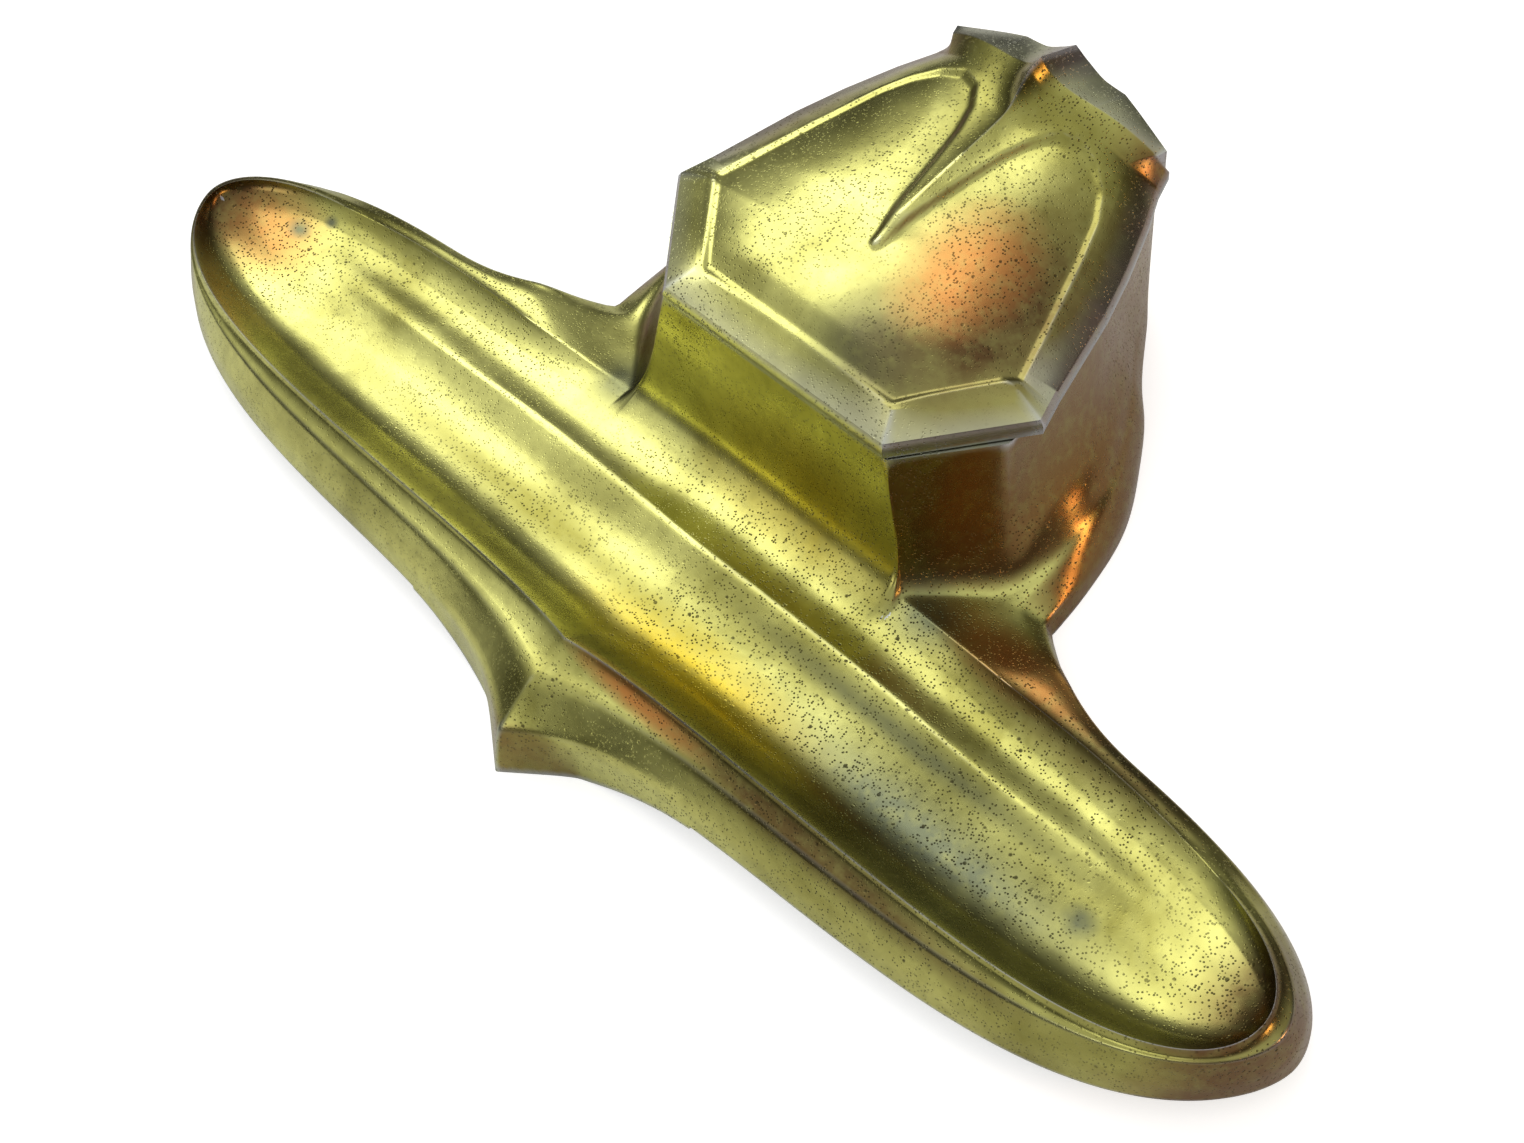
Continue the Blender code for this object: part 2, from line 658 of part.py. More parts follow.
def well_hollow():
    """The room inside the box: wide above the deck's ledge, narrower below it."""
    seat = deck_seat()
    lower = BODY_WALL + LEDGE_WIDTH
    levels = [HOLLOW_WAIST * share for share in WAIST_SHARES]
    rings = [at_height(inset(well_ring(levels[0]), lower), -CUT_OVERRUN)]
    rings += [inset(well_ring(level), lower) for level in levels]
    rings += [inset(well_ring(seat), lower), inset(well_ring(seat), BODY_WALL)]
    rings.append(inset(well_ring(seat + DECK_THICKNESS + SEAT_GAP), BODY_WALL))
    rings.append(inset(well_ring(WELL_HEIGHT), BODY_WALL))
    rings.append(at_height(rings[-1], WELL_HEIGHT + CUT_OVERRUN))
    return loft("well_hollow", rings)


def tray_hollow():
    """The room under the tray, one wall inside its skin and open to the desk."""
    foot = back_columns()[1]
    sections = []
    outer = tray_places(HOLLOW_SPAN_X, RIM_HALF_LENGTH - 2 * BODY_WALL)
    for x in np.append(np.linspace(0, HOLLOW_SPAN_X, HOLLOW_STEPS + 1), outer[1:]):
        room = max(0, 1 - (x / RIM_HALF_LENGTH) ** 6) ** 0.5
        wall = BODY_WALL * room
        halves = (CREASE_HALF_LENGTH, EDGE_HALF_LENGTH, SKIRT_HALF_LENGTH)
        crease_x, edge_x, skirt_x = (stretched(x, half) for half in halves)
        section = [
            (skirt_x, skirt_front(skirt_x)[1] + wall, -CUT_OVERRUN),
            edge_front(edge_x) + (0, wall, -BODY_WALL),
            crease_front(crease_x) + (0, wall, -BODY_WALL),
        ]
        rim_y, foot_y = rim_front(x)[1], np.interp(x, foot[:, 0], foot[:, 1])
        for across in HOLLOW_SHARES:
            y = rim_y + across * (foot_y - rim_y)
            section.append((x, y, trough_floor(across, y, x, room) - BODY_WALL))
        under = smoothstep((x - RIM_START_X) / (CREASE_START_X - RIM_START_X))
        rim_z = HOLLOW_LOW + (rim_back(x)[2] - 1.5 * BODY_WALL - HOLLOW_LOW) * under
        section += [
            (x, rim_back(max(x, RIM_START_X))[1], rim_z),
            (crease_x, *(crease_back(max(crease_x, CREASE_START_X))[1:] - (wall, BODY_WALL))),
            (edge_x, *(edge_back(max(edge_x, EDGE_START_X))[1:] - (wall, BODY_WALL / 2))),
            (skirt_x, skirt_back(max(skirt_x, SKIRT_START_X))[1] - wall, -CUT_OVERRUN),
        ]
        sections.append([tuple(point) for point in section])
    mirrored = [[(-x, y, z) for x, y, z in section] for section in sections[:0:-1]]
    return loft("tray_hollow", mirrored + sections)


def cylinder(name, radius, start, end, segments=SMALL_SEGMENTS):
    """A plain cylinder between two points that lie along one of the axes."""
    start, end = np.array(start, float), np.array(end, float)
    axis = (end - start) / np.linalg.norm(end - start)
    across = np.roll(axis, 1)
    up = np.cross(axis, across)
    rings = []
    for centre in (start, end):
        turns = [2 * math.pi * i / segments for i in range(segments)]
        rings.append([tuple(centre + radius * (math.cos(t) * across + math.sin(t) * up)) for t in turns])
    return loft(name, rings)


def box(name, low, high):
    x, y, z = zip(low, high)
    ring = [(x[0], y[0]), (x[1], y[0]), (x[1], y[1]), (x[0], y[1])]
    return loft(name, [[(a, b, height) for a, b in ring] for height in z])


def rivet_places():
    """Where the rivets stand, as x and height: two through the body's leaf and one through the lid's."""
    start = BARREL_RADIUS + SEAT_GAP
    below = [(side * RIVET_SPACING / 2, HINGE_Z - start - LEAF_HEIGHT / 2) for side in (-1, 1)]
    above = [(0, HINGE_Z + start + LID_LEAF_HEIGHT / 2)]
    return below, above


def rivet_hole(spot, name):
    x, z = spot
    reach = LEAF_THICKNESS + BODY_WALL + LEDGE_WIDTH + SEAT_GAP + CUT_OVERRUN
    radius = RIVET_RADIUS + PIN_CLEARANCE
    return add_object(name, cylinder(name, radius, (x, BACK_Y - reach, z), (x, BACK_Y + reach, z)))


def build_tray_body(material):
    body = add_object("tray_body", build_skin("tray_body"), material)
    combine(body, add_object("tray_hollow", tray_hollow()), "DIFFERENCE")
    combine(body, add_object("well_hollow", well_hollow()), "DIFFERENCE")
    for i, spot in enumerate(rivet_places()[0]):
        combine(body, rivet_hole(spot, f"body_rivet_hole_{i + 1}"), "DIFFERENCE")
    return shade(body)


def build_deck(material):
    """A plate on the box's ledge, with the round hole that the glass hangs in."""
    low = deck_seat() + SEAT_GAP
    ring = inset(well_ring(low + DECK_THICKNESS), BODY_WALL + SEAT_GAP)
    plate = loft("well_deck", [at_height(ring, low), at_height(ring, low + DECK_THICKNESS)])
    deck = add_object("well_deck", plate, material)
    hole = cylinder("deck_hole", GLASS_RADIUS + SEAT_GAP, (0, GLASS_Y, low - CUT_OVERRUN),
                    (0, GLASS_Y, low + DECK_THICKNESS + CUT_OVERRUN), ROUND_SEGMENTS)
    combine(deck, add_object("deck_hole", hole), "DIFFERENCE")
    return shade(deck)


def turned(name, profile, spot, material, segments=ROUND_SEGMENTS):
    """A turned piece from a closed (radius, height) profile that may touch the axis."""
    rings = []
    for i in range(segments):
        turn = 2 * math.pi * i / segments
        rings.append([(r * math.cos(turn), r * math.sin(turn), z) for r, z in profile])
    points = [point for ring in rings for point in ring]
    size = len(profile)
    faces = []
    for i in range(segments):
        j = (i + 1) % segments
        for k in range(size):
            m = (k + 1) % size
            faces.append((i * size + k, j * size + k, j * size + m, i * size + m))
    made = add_object(name, mesh_from(name, points, faces), material)
    made.location = spot
    return shade(made)


def build_glass(material):
    """The ink pot: a tumbler with a flange that hangs in the deck, its mouth narrowed by a lip."""
    seat = deck_seat() + DECK_THICKNESS + 2 * SEAT_GAP
    top = GLASS_FLANGE_THICKNESS
    bottom = top - GLASS_HEIGHT
    bore = GLASS_RADIUS - GLASS_WALL
    foot = GLASS_RADIUS - GLASS_WALL / 2
    profile = [
        (0, bottom), (foot, bottom), (GLASS_RADIUS, bottom + GLASS_WALL / 2), (GLASS_RADIUS, 0),
        (GLASS_FLANGE_RADIUS, 0), (GLASS_FLANGE_RADIUS, top), (bore - GLASS_MOUTH_LIP, top),
        (bore - GLASS_MOUTH_LIP, top - GLASS_WALL), (bore, top - GLASS_WALL - GLASS_MOUTH_LIP),
        (bore, bottom + GLASS_FLOOR + GLASS_WALL), (bore - GLASS_WALL, bottom + GLASS_FLOOR),
        (0, bottom + GLASS_FLOOR),
    ]
    return turned("ink_glass", profile, (0, GLASS_Y, seat), material)


def lid_side(draw_in=0.0):
    """The lid's right side outline, front to back, drawn in by a distance."""
    points = np.array([(x * LID_HALF_WIDTH, LID_FRONT_Y + y * LID_DEPTH) for x, y in LID_SIDE_SHARES])
    loop = [(x, y, 0) for x, y in points] + [(-x, y, 0) for x, y in points[-2::-1]]
    moved = np.array(inset(loop, draw_in))[:len(points), :2]
    moved[-1, 0] = 0
    return moved


def crown_side(draw_in=0.0):
    """The inner edge of the bevel on the right side, from the front corner back to the crest's end."""
    edge = lid_side(LID_BEVEL_RUN + LID_BAND_DRAFT + draw_in)
    last = len(edge) - 3
    end = (lid_side(LID_BAND_DRAFT + draw_in)[last][0], LID_FRONT_Y + CREST_SIDE_SHARE * LID_DEPTH - draw_in)
    return np.array([*edge[:last], end])


def along(points, place_on):
    """A point along a line of points, by its place counted in points."""
    counts = np.arange(len(points))
    return np.array([np.interp(place_on, counts, column) for column in np.asarray(points).T])


def row_rise(share):
    table = np.array(LID_RISE_SHARES)
    return [PEAK_RISE * np.interp(share, table[:, 0], table[:, i]) for i in (1, 2, 3)]


def panel_depth(x, y):
    """How deep the recessed panel lies below the lid's own surface here."""
    outline = np.array([(a * LID_HALF_WIDTH, LID_FRONT_Y + b * LID_DEPTH) for a, b in PANEL_SHARES])
    here = np.array([abs(x), y])
    inside = False
    nearest = LID_HALF_WIDTH
    for a, b in zip(outline, outline[1:]):
        along = np.clip(np.dot(here - a, b - a) / np.dot(b - a, b - a), 0, 1)
        nearest = min(nearest, float(np.linalg.norm(a + along * (b - a) - here)))
        if (a[1] > y) != (b[1] > y) and abs(x) < a[0] + (y - a[1]) / (b[1] - a[1]) * (b[0] - a[0]):
            inside = not inside
    return RECESS_DEPTH * float(smoothstep(nearest / RECESS_BANK)) if inside else 0.0


def lid_rows(draw_in, drop):
    """The right half of the lid's top: rows from the front edge to the crest, then its back edge."""
    bevel_top = LID_BASE_Z + LID_BAND + LID_BEVEL_RISE - drop
    side = crown_side(draw_in)
    front_y, end_y = side[0][1], side[-1][1]
    crest_y = LID_FRONT_Y + CREST_BACK_SHARE * LID_DEPTH - draw_in
    columns = np.arange(LID_COLUMNS + 1) / LID_COLUMNS
    rows = []
    for place_on in np.arange((len(side) - 1) * LID_ROW_STEPS + 1) / LID_ROW_STEPS:
        side_x, side_y = along(side, place_on)
        share = (side_y - front_y) / (end_y - front_y)
        middle_y = front_y + share * (crest_y - front_y)
        edge, crown, spine = row_rise(share)
        row = []
        for u in columns:
            x, y = u * side_x, middle_y + u * (side_y - middle_y)
            z = bevel_top + edge + (crown - edge) * (1 - u ** CROWN_POWER)
            z += spine * (math.exp(-u / SPINE_WIDTH_SHARE) - math.exp(-1 / SPINE_WIDTH_SHARE) * u)
            row.append((x, y, z - (0 if drop else panel_depth(x, y))))
        rows.append(row)
    shares, rises = np.array(BACK_EDGE_SHARES).T
    last = []
    for u in columns:
        x, y = outline_back(u, lid_side(draw_in + LID_BAND_DRAFT / 2))
        last.append((x, y, bevel_top + PEAK_RISE * np.interp(u, shares, rises)))
    return rows + [last]


def outline_back(u, side):
    """The back of an outline, from its middle at 0 to the back corner at 1."""
    corner, flat, middle = side[-3], side[-2], side[-1]
    turns = (0, flat[0] / corner[0], 1)
    x = np.interp(u, turns, (middle[0], flat[0], corner[0]))
    return x, np.interp(u, turns, (middle[1], flat[1], corner[1]))


def lid_loop(draw_in, height):
    """A loop below the lid's top, point for point with the border of its rows."""
    side = lid_side(draw_in)
    columns = np.arange(LID_COLUMNS + 1) / LID_COLUMNS
    loop = [(u * side[0][0], side[0][1]) for u in columns]
    corner = len(side) - 3
    loop += [tuple(along(side, i / LID_ROW_STEPS)) for i in range(1, corner * LID_ROW_STEPS + 1)]
    loop += [outline_back(u, side) for u in columns[::-1]]
    return [(x, y, height) for x, y in loop]


def lid_mesh(name, draw_in, drop, foot_z):
    """The lid as one closed shape, drawn in on all sides and lowered on top, down to its foot."""
    rows = np.array(lid_rows(draw_in, drop))
    border = [*rows[0], *rows[1:-1, -1], *rows[-1, ::-1]]
    band_top = LID_BASE_Z + LID_BAND - drop
    loops = [border, lid_loop(draw_in + LID_BAND_DRAFT / 2, band_top)]
    if not drop:
        loops.append(lid_loop(0, LID_BASE_Z + LID_SKIRT))
    loops.append([(x, y, foot_z) for x, y, _ in lid_loop(draw_in, 0)])
    return skin(name, [rows, np.array(loops)], [both_sides(loops[-1])])


def build_lid(material, hinge):
    lid = add_object("lid", lid_mesh("lid", 0, 0, LID_BASE_Z), material)
    hollow = lid_mesh("lid_hollow", LID_SIDE_WALL, LID_TOP_WALL, LID_BASE_Z - CUT_OVERRUN)
    combine(lid, add_object("lid_hollow", hollow), "DIFFERENCE")
    combine(lid, rivet_hole(rivet_places()[1][0], "lid_rivet_hole"), "DIFFERENCE")
    hang(lid, hinge)
    return shade(lid)


def hang(made, hinge):
    """Parent a piece to the hinge axis without moving it."""
    made.parent = hinge
    made.matrix_parent_inverse = hinge.matrix_world.inverted()


def leaf(name, side, size, spans, material):
    """One hinge leaf: a riveted plate on the back wall (side 1 above the axis, -1 below) and its knuckles."""
    width, height = size
    near_y = BACK_Y + SEAT_GAP
    start = HINGE_Z + side * (BARREL_RADIUS + SEAT_GAP)
    end = start + side * height
    low, high = sorted((start, end))
    plate = box(name, (-width / 2, near_y, low), (width / 2, near_y + LEAF_THICKNESS, high))
    made = add_object(name, plate, material)
    for i, (left, right) in enumerate(spans):
        neck_z = sorted((HINGE_Z, start + side * LEAF_THICKNESS))
        neck = box("neck", (left, near_y, neck_z[0]), (right, near_y + LEAF_THICKNESS, neck_z[1]))
        combine(made, add_object(f"{name}_neck_{i + 1}", neck), "UNION")
        tube = cylinder("knuckle", BARREL_RADIUS, (left, HINGE_Y, HINGE_Z), (right, HINGE_Y, HINGE_Z))
        combine(made, add_object(f"{name}_knuckle_{i + 1}", tube), "UNION")
    reach = LEAF_WIDTH / 2 + CUT_OVERRUN
    bore = cylinder("bore", PIN_RADIUS + PIN_CLEARANCE, (-reach, HINGE_Y, HINGE_Z), (reach, HINGE_Y, HINGE_Z))
    combine(made, add_object(f"{name}_bore", bore), "DIFFERENCE")
    for i, spot in enumerate(rivet_places()[1 if side > 0 else 0]):
        combine(made, rivet_hole(spot, f"{name}_rivet_hole_{i + 1}"), "DIFFERENCE")
    return shade(made)


def build_pin(material):
    """The hinge pin with a small head at each end, lying along x."""
    reach = LEAF_WIDTH / 2 + SEAT_GAP
    end = reach + PIN_HEAD_LENGTH
    profile = [(0, -end), (PIN_HEAD_RADIUS, -end), (PIN_HEAD_RADIUS, -reach), (PIN_RADIUS, -reach),
               (PIN_RADIUS, reach), (PIN_HEAD_RADIUS, reach), (PIN_HEAD_RADIUS, end), (0, end)]
    pin = turned("hinge_pin", profile, (0, HINGE_Y, HINGE_Z), material, SMALL_SEGMENTS)
    pin.rotation_euler = (0, math.pi / 2, 0)
    return pin


def build_rivet(name, spot, wall, material):
    """A rivet through a leaf and a wall, domed outside and clenched inside."""
    x, z = spot
    outer = SEAT_GAP * 2 + LEAF_THICKNESS
    inner = -wall - SEAT_GAP
    dome = [(RIVET_HEAD_RADIUS * math.cos(turn), outer + RIVET_HEAD_HEIGHT * math.sin(turn))
            for turn in np.linspace(0, math.pi / 2, 5)][:-1]
    profile = [(0, inner - RIVET_HEAD_HEIGHT), (RIVET_HEAD_RADIUS, inner - RIVET_HEAD_HEIGHT),
               (RIVET_HEAD_RADIUS, inner), (RIVET_RADIUS, inner), (RIVET_RADIUS, outer), *dome,
               (0, outer + RIVET_HEAD_HEIGHT)]
    rivet = turned(name, profile, (x, BACK_Y, z), material, SMALL_SEGMENTS)
    rivet.rotation_euler = (-math.pi / 2, 0, 0)
    return rivet


def build_hinge(hinge):
    half, knuckle = LEAF_WIDTH / 2, KNUCKLE_WIDTH / 2
    outside = [(-half, -knuckle - SEAT_GAP), (knuckle + SEAT_GAP, half)]
    leaf("hinge_leaf_body", -1, (LEAF_WIDTH, LEAF_HEIGHT), outside, metal("body_leaf_brass", *PLATE_LOOK))
    inside = [(-knuckle, knuckle)]
    lid_size = (LID_LEAF_WIDTH, LID_LEAF_HEIGHT)
    hang(leaf("hinge_leaf_lid", 1, lid_size, inside, metal("lid_leaf_brass", *PLATE_LOOK)), hinge)
    build_pin(metal("pin_brass", *PLATE_LOOK))
    below, above = rivet_places()
    for i, spot in enumerate(below):
        build_rivet(f"body_rivet_{i + 1}", spot, BODY_WALL, metal(f"body_rivet_{i + 1}_brass", *PLATE_LOOK))
    wall = LID_SIDE_WALL + LID_BAND_DRAFT
    hang(build_rivet("lid_rivet", above[0], wall, metal("lid_rivet_brass", *PLATE_LOOK)), hinge)


def centre():
    """Moves the whole stand so that the origin lies under the middle of it, front to back."""
    middle = (TOE_FRONT_Y + HINGE_Y + BARREL_RADIUS) / 2
    for made in bpy.data.objects:
        if not made.parent:
            made.location.y -= middle


def main():
    clear_scene()
    hinge = bpy.data.objects.new("lid_hinge", None)
    hinge.location = (0, HINGE_Y, HINGE_Z)
    bpy.context.scene.collection.objects.link(hinge)
    bpy.context.view_layer.update()
    build_tray_body(metal("body_brass", *CAST_LOOK))
    build_deck(metal("deck_brass", *PLATE_LOOK))
    build_glass(glass("pot_glass"))
    build_lid(metal("lid_brass", *CAST_LOOK), hinge)
    build_hinge(hinge)
    centre()


main()
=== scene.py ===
"""The dressed inkstand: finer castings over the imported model, brass and glass materials, floor and light.

The two castings are drawn from the outlines of the model's solids, with subdivided skins and rounded edges.
Only the toe and the point of the prow are drawn fuller here than in the solids.
"""

import math

import bmesh
import bpy
import numpy as np
from mathutils import Matrix, Vector

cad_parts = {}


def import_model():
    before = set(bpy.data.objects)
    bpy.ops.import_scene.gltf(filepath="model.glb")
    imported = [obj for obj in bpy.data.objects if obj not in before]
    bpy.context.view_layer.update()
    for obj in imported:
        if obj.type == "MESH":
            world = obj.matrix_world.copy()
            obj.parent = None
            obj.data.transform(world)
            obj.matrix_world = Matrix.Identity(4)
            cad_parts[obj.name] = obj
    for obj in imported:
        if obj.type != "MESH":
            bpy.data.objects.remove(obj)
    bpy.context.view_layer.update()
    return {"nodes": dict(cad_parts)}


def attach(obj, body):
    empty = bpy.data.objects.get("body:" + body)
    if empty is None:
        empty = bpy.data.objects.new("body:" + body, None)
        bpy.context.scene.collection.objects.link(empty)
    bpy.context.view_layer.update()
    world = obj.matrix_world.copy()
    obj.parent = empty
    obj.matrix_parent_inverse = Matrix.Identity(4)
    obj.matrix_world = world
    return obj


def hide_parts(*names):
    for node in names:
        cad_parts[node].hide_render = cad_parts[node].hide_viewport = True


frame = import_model()

# Tray: half lengths of its four outlines, their tips' places and the heights they run at.
RIM_HALF_LENGTH = 0.1322
CREASE_HALF_LENGTH = 0.1354
EDGE_HALF_LENGTH = 0.1376
SKIRT_HALF_LENGTH = 0.1384
RIM_TIP_Y = 0.0012
CREASE_TIP_Y = 0.0020
EDGE_TIP_Y = 0.0030
SKIRT_TIP_Y = 0.0035
RIM_HEIGHT = 0.0197
CREASE_HEIGHT = 0.0173
EDGE_HEIGHT = 0.0112
SKIRT_CLEARANCE = 0.0060

# Tray: how far each outline swells in front of and behind its tips.
RIM_FRONT = 0.0220
RIM_BACK = 0.0222
CREASE_FRONT = 0.0268
CREASE_BACK = 0.0240
EDGE_FRONT = 0.0318
EDGE_BACK = 0.0242
SKIRT_FRONT = 0.0338
SKIRT_BACK = 0.0252

# The two powers of each outline's swell: the first keeps it straight for longer, the second rounds its ends.
RIM_FRONT_POWERS = (5.8, 0.5)
CREASE_FRONT_POWERS = (5.0, 0.58)
EDGE_FRONT_POWERS = (4.8, 0.6)
SKIRT_FRONT_POWERS = (4.8, 0.6)
RIM_BACK_POWERS = (5.2, 0.5)
CREASE_BACK_POWERS = (4.4, 0.5)
EDGE_BACK_POWERS = (5.2, 0.5)
SKIRT_BACK_POWERS = (5.6, 0.5)

# Prow: how far each outline runs out to its point, and how fast that dies away.
RIM_PROW = 0.0026
CREASE_PROW = 0.0076
EDGE_PROW = 0.0135
PROW_RUN = 0.0180

# The cove between rim and crease, as shares of its run and of its drop.
COVE_SHARES = ((0.16, 0.46), (0.52, 0.84))
COVE_REACH_X = 0.0700

# How much lower the rim and the crease run behind than at the tips, and where they have come down.
RIM_BACK_DROP = 0.0068
CREASE_BACK_DROP = 0.0050
BACK_DROP_X = 0.1080
BACK_DROP_POWER = 0.8

# Shoulders: where the lines start on the well box, and how they sweep and dip towards it.
RIM_START_X = 0.0368
CREASE_START_X = 0.0505
EDGE_START_X = 0.0562
SKIRT_START_X = 0.0572
SHOULDER_REACH_X = 0.0880
DIP_REACH_X = 0.0680
TUCK_REACH_X = 0.0600
RIM_TUCK = 0.0018
CREASE_SWEEP = 0.0130
EDGE_SWEEP = 0.0129
SKIRT_SWEEP = 0.0124
RIM_DIP = 0.0022
CREASE_DIP = 0.0055
EDGE_DIP = 0.0067

# How quickly each sweep dies away from the box.
CREASE_SWEEP_POWER = 2.5
EDGE_SWEEP_POWER = 2.2
SKIRT_SWEEP_POWER = 2.2
SKIRT_FALL_POWER = 1.2

# Trough: its depth and the places and depths of its floor as shares, from the front rim to the face's foot.
TROUGH_DEPTH = 0.0107
TIP_POWERS = (6, 0.5)
TROUGH_SHARES = (
    (0.04, 0.17), (0.10, 0.47), (0.17, 0.74), (0.25, 0.92), (0.36, 1.00), (0.48, 1.00), (0.60, 0.93),
    (0.68, 0.92), (0.75, 0.92), (0.82, 0.94), (0.91, 0.95), (1.00, 0.92),
)
FOOT_Y = 0.0190
FOOT_SWEEP_START_X = 0.0260
FOOT_SWEEP_END_X = 0.0800
FRONT_FAN_X = 0.0300
FOOT_FAN_X = 0.0330
BACK_WALL_RUN = 0.0062
RIDGE_Y = 0.0085
RIDGE_RUN = 0.0034
RIDGE_RISE = 0.0019
RIDGE_FADE_X = 0.0780
RIDGE_END_X = 0.1180

# Toe: the foot below the prow.
TOE_HALF_WIDTH = 0.0165
TOE_FRONT_Y = -0.0456
TOE_SLOPE = 0.76
TOE_SIDE_RUN = 0.0030
SKIRT_RISE_X = 0.0420
SKIRT_RISE_POWER = 0.7

# Well box: overall sizes, then the lines down it as shares of half width, depth and height.
WELL_HALF_WIDTH = 0.0600
WELL_FRONT_Y = 0.0206
WELL_DEPTH = 0.0946
WELL_HEIGHT = 0.0390
# The front face's slope: height above the trough's floor, then depth.
FACE_SHARES = (
    (0.00, 0.00), (0.03, 0.28), (0.07, 0.45), (0.12, 0.56),
    (0.26, 0.70), (0.46, 0.80), (0.73, 0.89), (1.00, 1.00),
)
FACE_TOP_SHARE = 0.124
# The front corner edge, down to the rim line: its last share is the climb above the rim.
CORNER_SHARES = (
    (0.457, 0.119, 1.000), (0.485, 0.107, 0.715), (0.510, 0.094, 0.430), (0.533, 0.081, 0.212),
    (0.557, 0.068, 0.078), (0.582, 0.057, 0.010),
)
# The edge between chamfer and side, down to the crease line: its last share is the climb above the crease.
CHAMFER_SHARES = (
    (0.687, 0.290, 1.000), (0.697, 0.284, 0.710), (0.720, 0.270, 0.420), (0.750, 0.250, 0.220),
    (0.780, 0.234, 0.080), (0.811, 0.215, 0.010),
)
# Four lines down the side, front to back: half width, depth and height, top to bottom.
SIDE_SHARES = (
    ((0.667, 0.416, 1.00), (0.683, 0.411, 0.80), (0.715, 0.406, 0.60), (0.755, 0.399, 0.46),
     (0.800, 0.388, 0.37), (0.840, 0.376, 0.29), (0.873, 0.365, 0.24),
     (0.925, 0.345, 0.12), (0.935, 0.340, 0.00)),
    ((0.617, 0.554, 1.00), (0.637, 0.552, 0.80), (0.670, 0.547, 0.60), (0.712, 0.540, 0.46),
     (0.755, 0.532, 0.37), (0.792, 0.523, 0.29), (0.825, 0.514, 0.24),
     (0.868, 0.506, 0.12), (0.875, 0.505, 0.00)),
    ((0.542, 0.691, 1.00), (0.550, 0.694, 0.80), (0.563, 0.698, 0.60), (0.583, 0.702, 0.46),
     (0.604, 0.705, 0.37), (0.625, 0.708, 0.29), (0.648, 0.709, 0.24),
     (0.690, 0.704, 0.12), (0.700, 0.694, 0.00)),
    ((0.500, 0.755, 1.00), (0.505, 0.756, 0.80), (0.512, 0.757, 0.60), (0.525, 0.757, 0.46),
     (0.538, 0.757, 0.37), (0.552, 0.757, 0.29), (0.566, 0.757, 0.24),
     (0.595, 0.754, 0.12), (0.602, 0.748, 0.00)),
)
# The back corner and the end of the back's flat, which stand upright.
BACK_SHARES = ((0.405, 0.941), (0.200, 1.000), (0.000, 1.000))

# The casting's wall, the ledge and the deck plate on it, and the hollows under box and tray.
BODY_WALL = 0.0020
LEDGE_WIDTH = 0.0022
DECK_DROP = 0.0105
DECK_THICKNESS = 0.0012
HOLLOW_WAIST = 0.0215
WAIST_SHARES = (0.35, 0.60, 0.80, 1.00)
HOLLOW_SPAN_X = 0.0400
HOLLOW_STEPS = 12
HOLLOW_LOW = 0.0070
HOLLOW_SHARES = (0.25, 0.36, 0.48, 0.60, 0.68, 0.75, 0.82, 0.91, 1.00)

# Lid: overall sizes, then the side outline as shares of half width and depth, front to back.
LID_HALF_WIDTH = 0.0443
LID_FRONT_Y = 0.0316
LID_DEPTH = 0.0836
LID_SKIRT = 0.0020
LID_BAND = 0.0033
LID_BEVEL_RISE = 0.0020
LID_BEVEL_RUN = 0.0045
LID_BAND_DRAFT = 0.0014
LID_SIDE_WALL = 0.0020
LID_TOP_WALL = 0.0022
LID_SIDE_SHARES = (
    (0.605, 0.000), (0.803, 0.129), (1.000, 0.257), (0.953, 0.340), (0.909, 0.435), (0.854, 0.555),
    (0.780, 0.675), (0.687, 0.800), (0.610, 0.885), (0.575, 0.944), (0.266, 1.000), (0.000, 1.000),
)
PEAK_RISE = 0.0146
CREST_BACK_SHARE = 0.875
CREST_SIDE_SHARE = 0.915
# A share of the way from front to crest, then the height there above the bevel at the side, the crown and
# the spine, as shares of the peak's rise.
LID_RISE_SHARES = (
    (0.00, 0.00, 0.00, 0.00), (0.10, 0.00, 0.25, 0.00), (0.20, 0.00, 0.34, 0.00), (0.35, 0.01, 0.37, 0.00),
    (0.45, 0.02, 0.41, 0.09), (0.60, 0.04, 0.43, 0.10), (0.72, 0.08, 0.44, 0.10), (0.84, 0.13, 0.46, 0.11),
    (0.88, 0.15, 0.49, 0.17), (0.92, 0.16, 0.53, 0.31), (0.96, 0.17, 0.57, 0.41), (1.00, 0.17, 0.59, 0.41),
)
SPINE_WIDTH_SHARE = 0.13
CROWN_POWER = 3.0
BACK_EDGE_SHARES = ((0.0, 0.66), (0.12, 0.50), (0.30, 0.33), (0.60, 0.28), (1.0, 0.17))
RECESS_DEPTH = 0.0008
RECESS_BANK = 0.0016
# The recessed panel's outline, as shares of half width and depth, from the spine round to the front.
PANEL_SHARES = (
    (0.000, 0.340), (0.033, 0.459), (0.067, 0.579), (0.100, 0.675), (0.144, 0.746), (0.211, 0.798),
    (0.310, 0.818), (0.421, 0.801), (0.517, 0.758), (0.588, 0.699), (0.654, 0.603), (0.721, 0.495),
    (0.787, 0.388), (0.843, 0.295), (0.521, 0.079), (0.000, 0.079),
)

# Hinge places that the castings leave room for.
BARREL_RADIUS = 0.0018
LEAF_HEIGHT = 0.0085
LID_LEAF_HEIGHT = 0.0036
RIVET_RADIUS = 0.0007
PIN_CLEARANCE = 0.0002
RIVET_SPACING = 0.0100

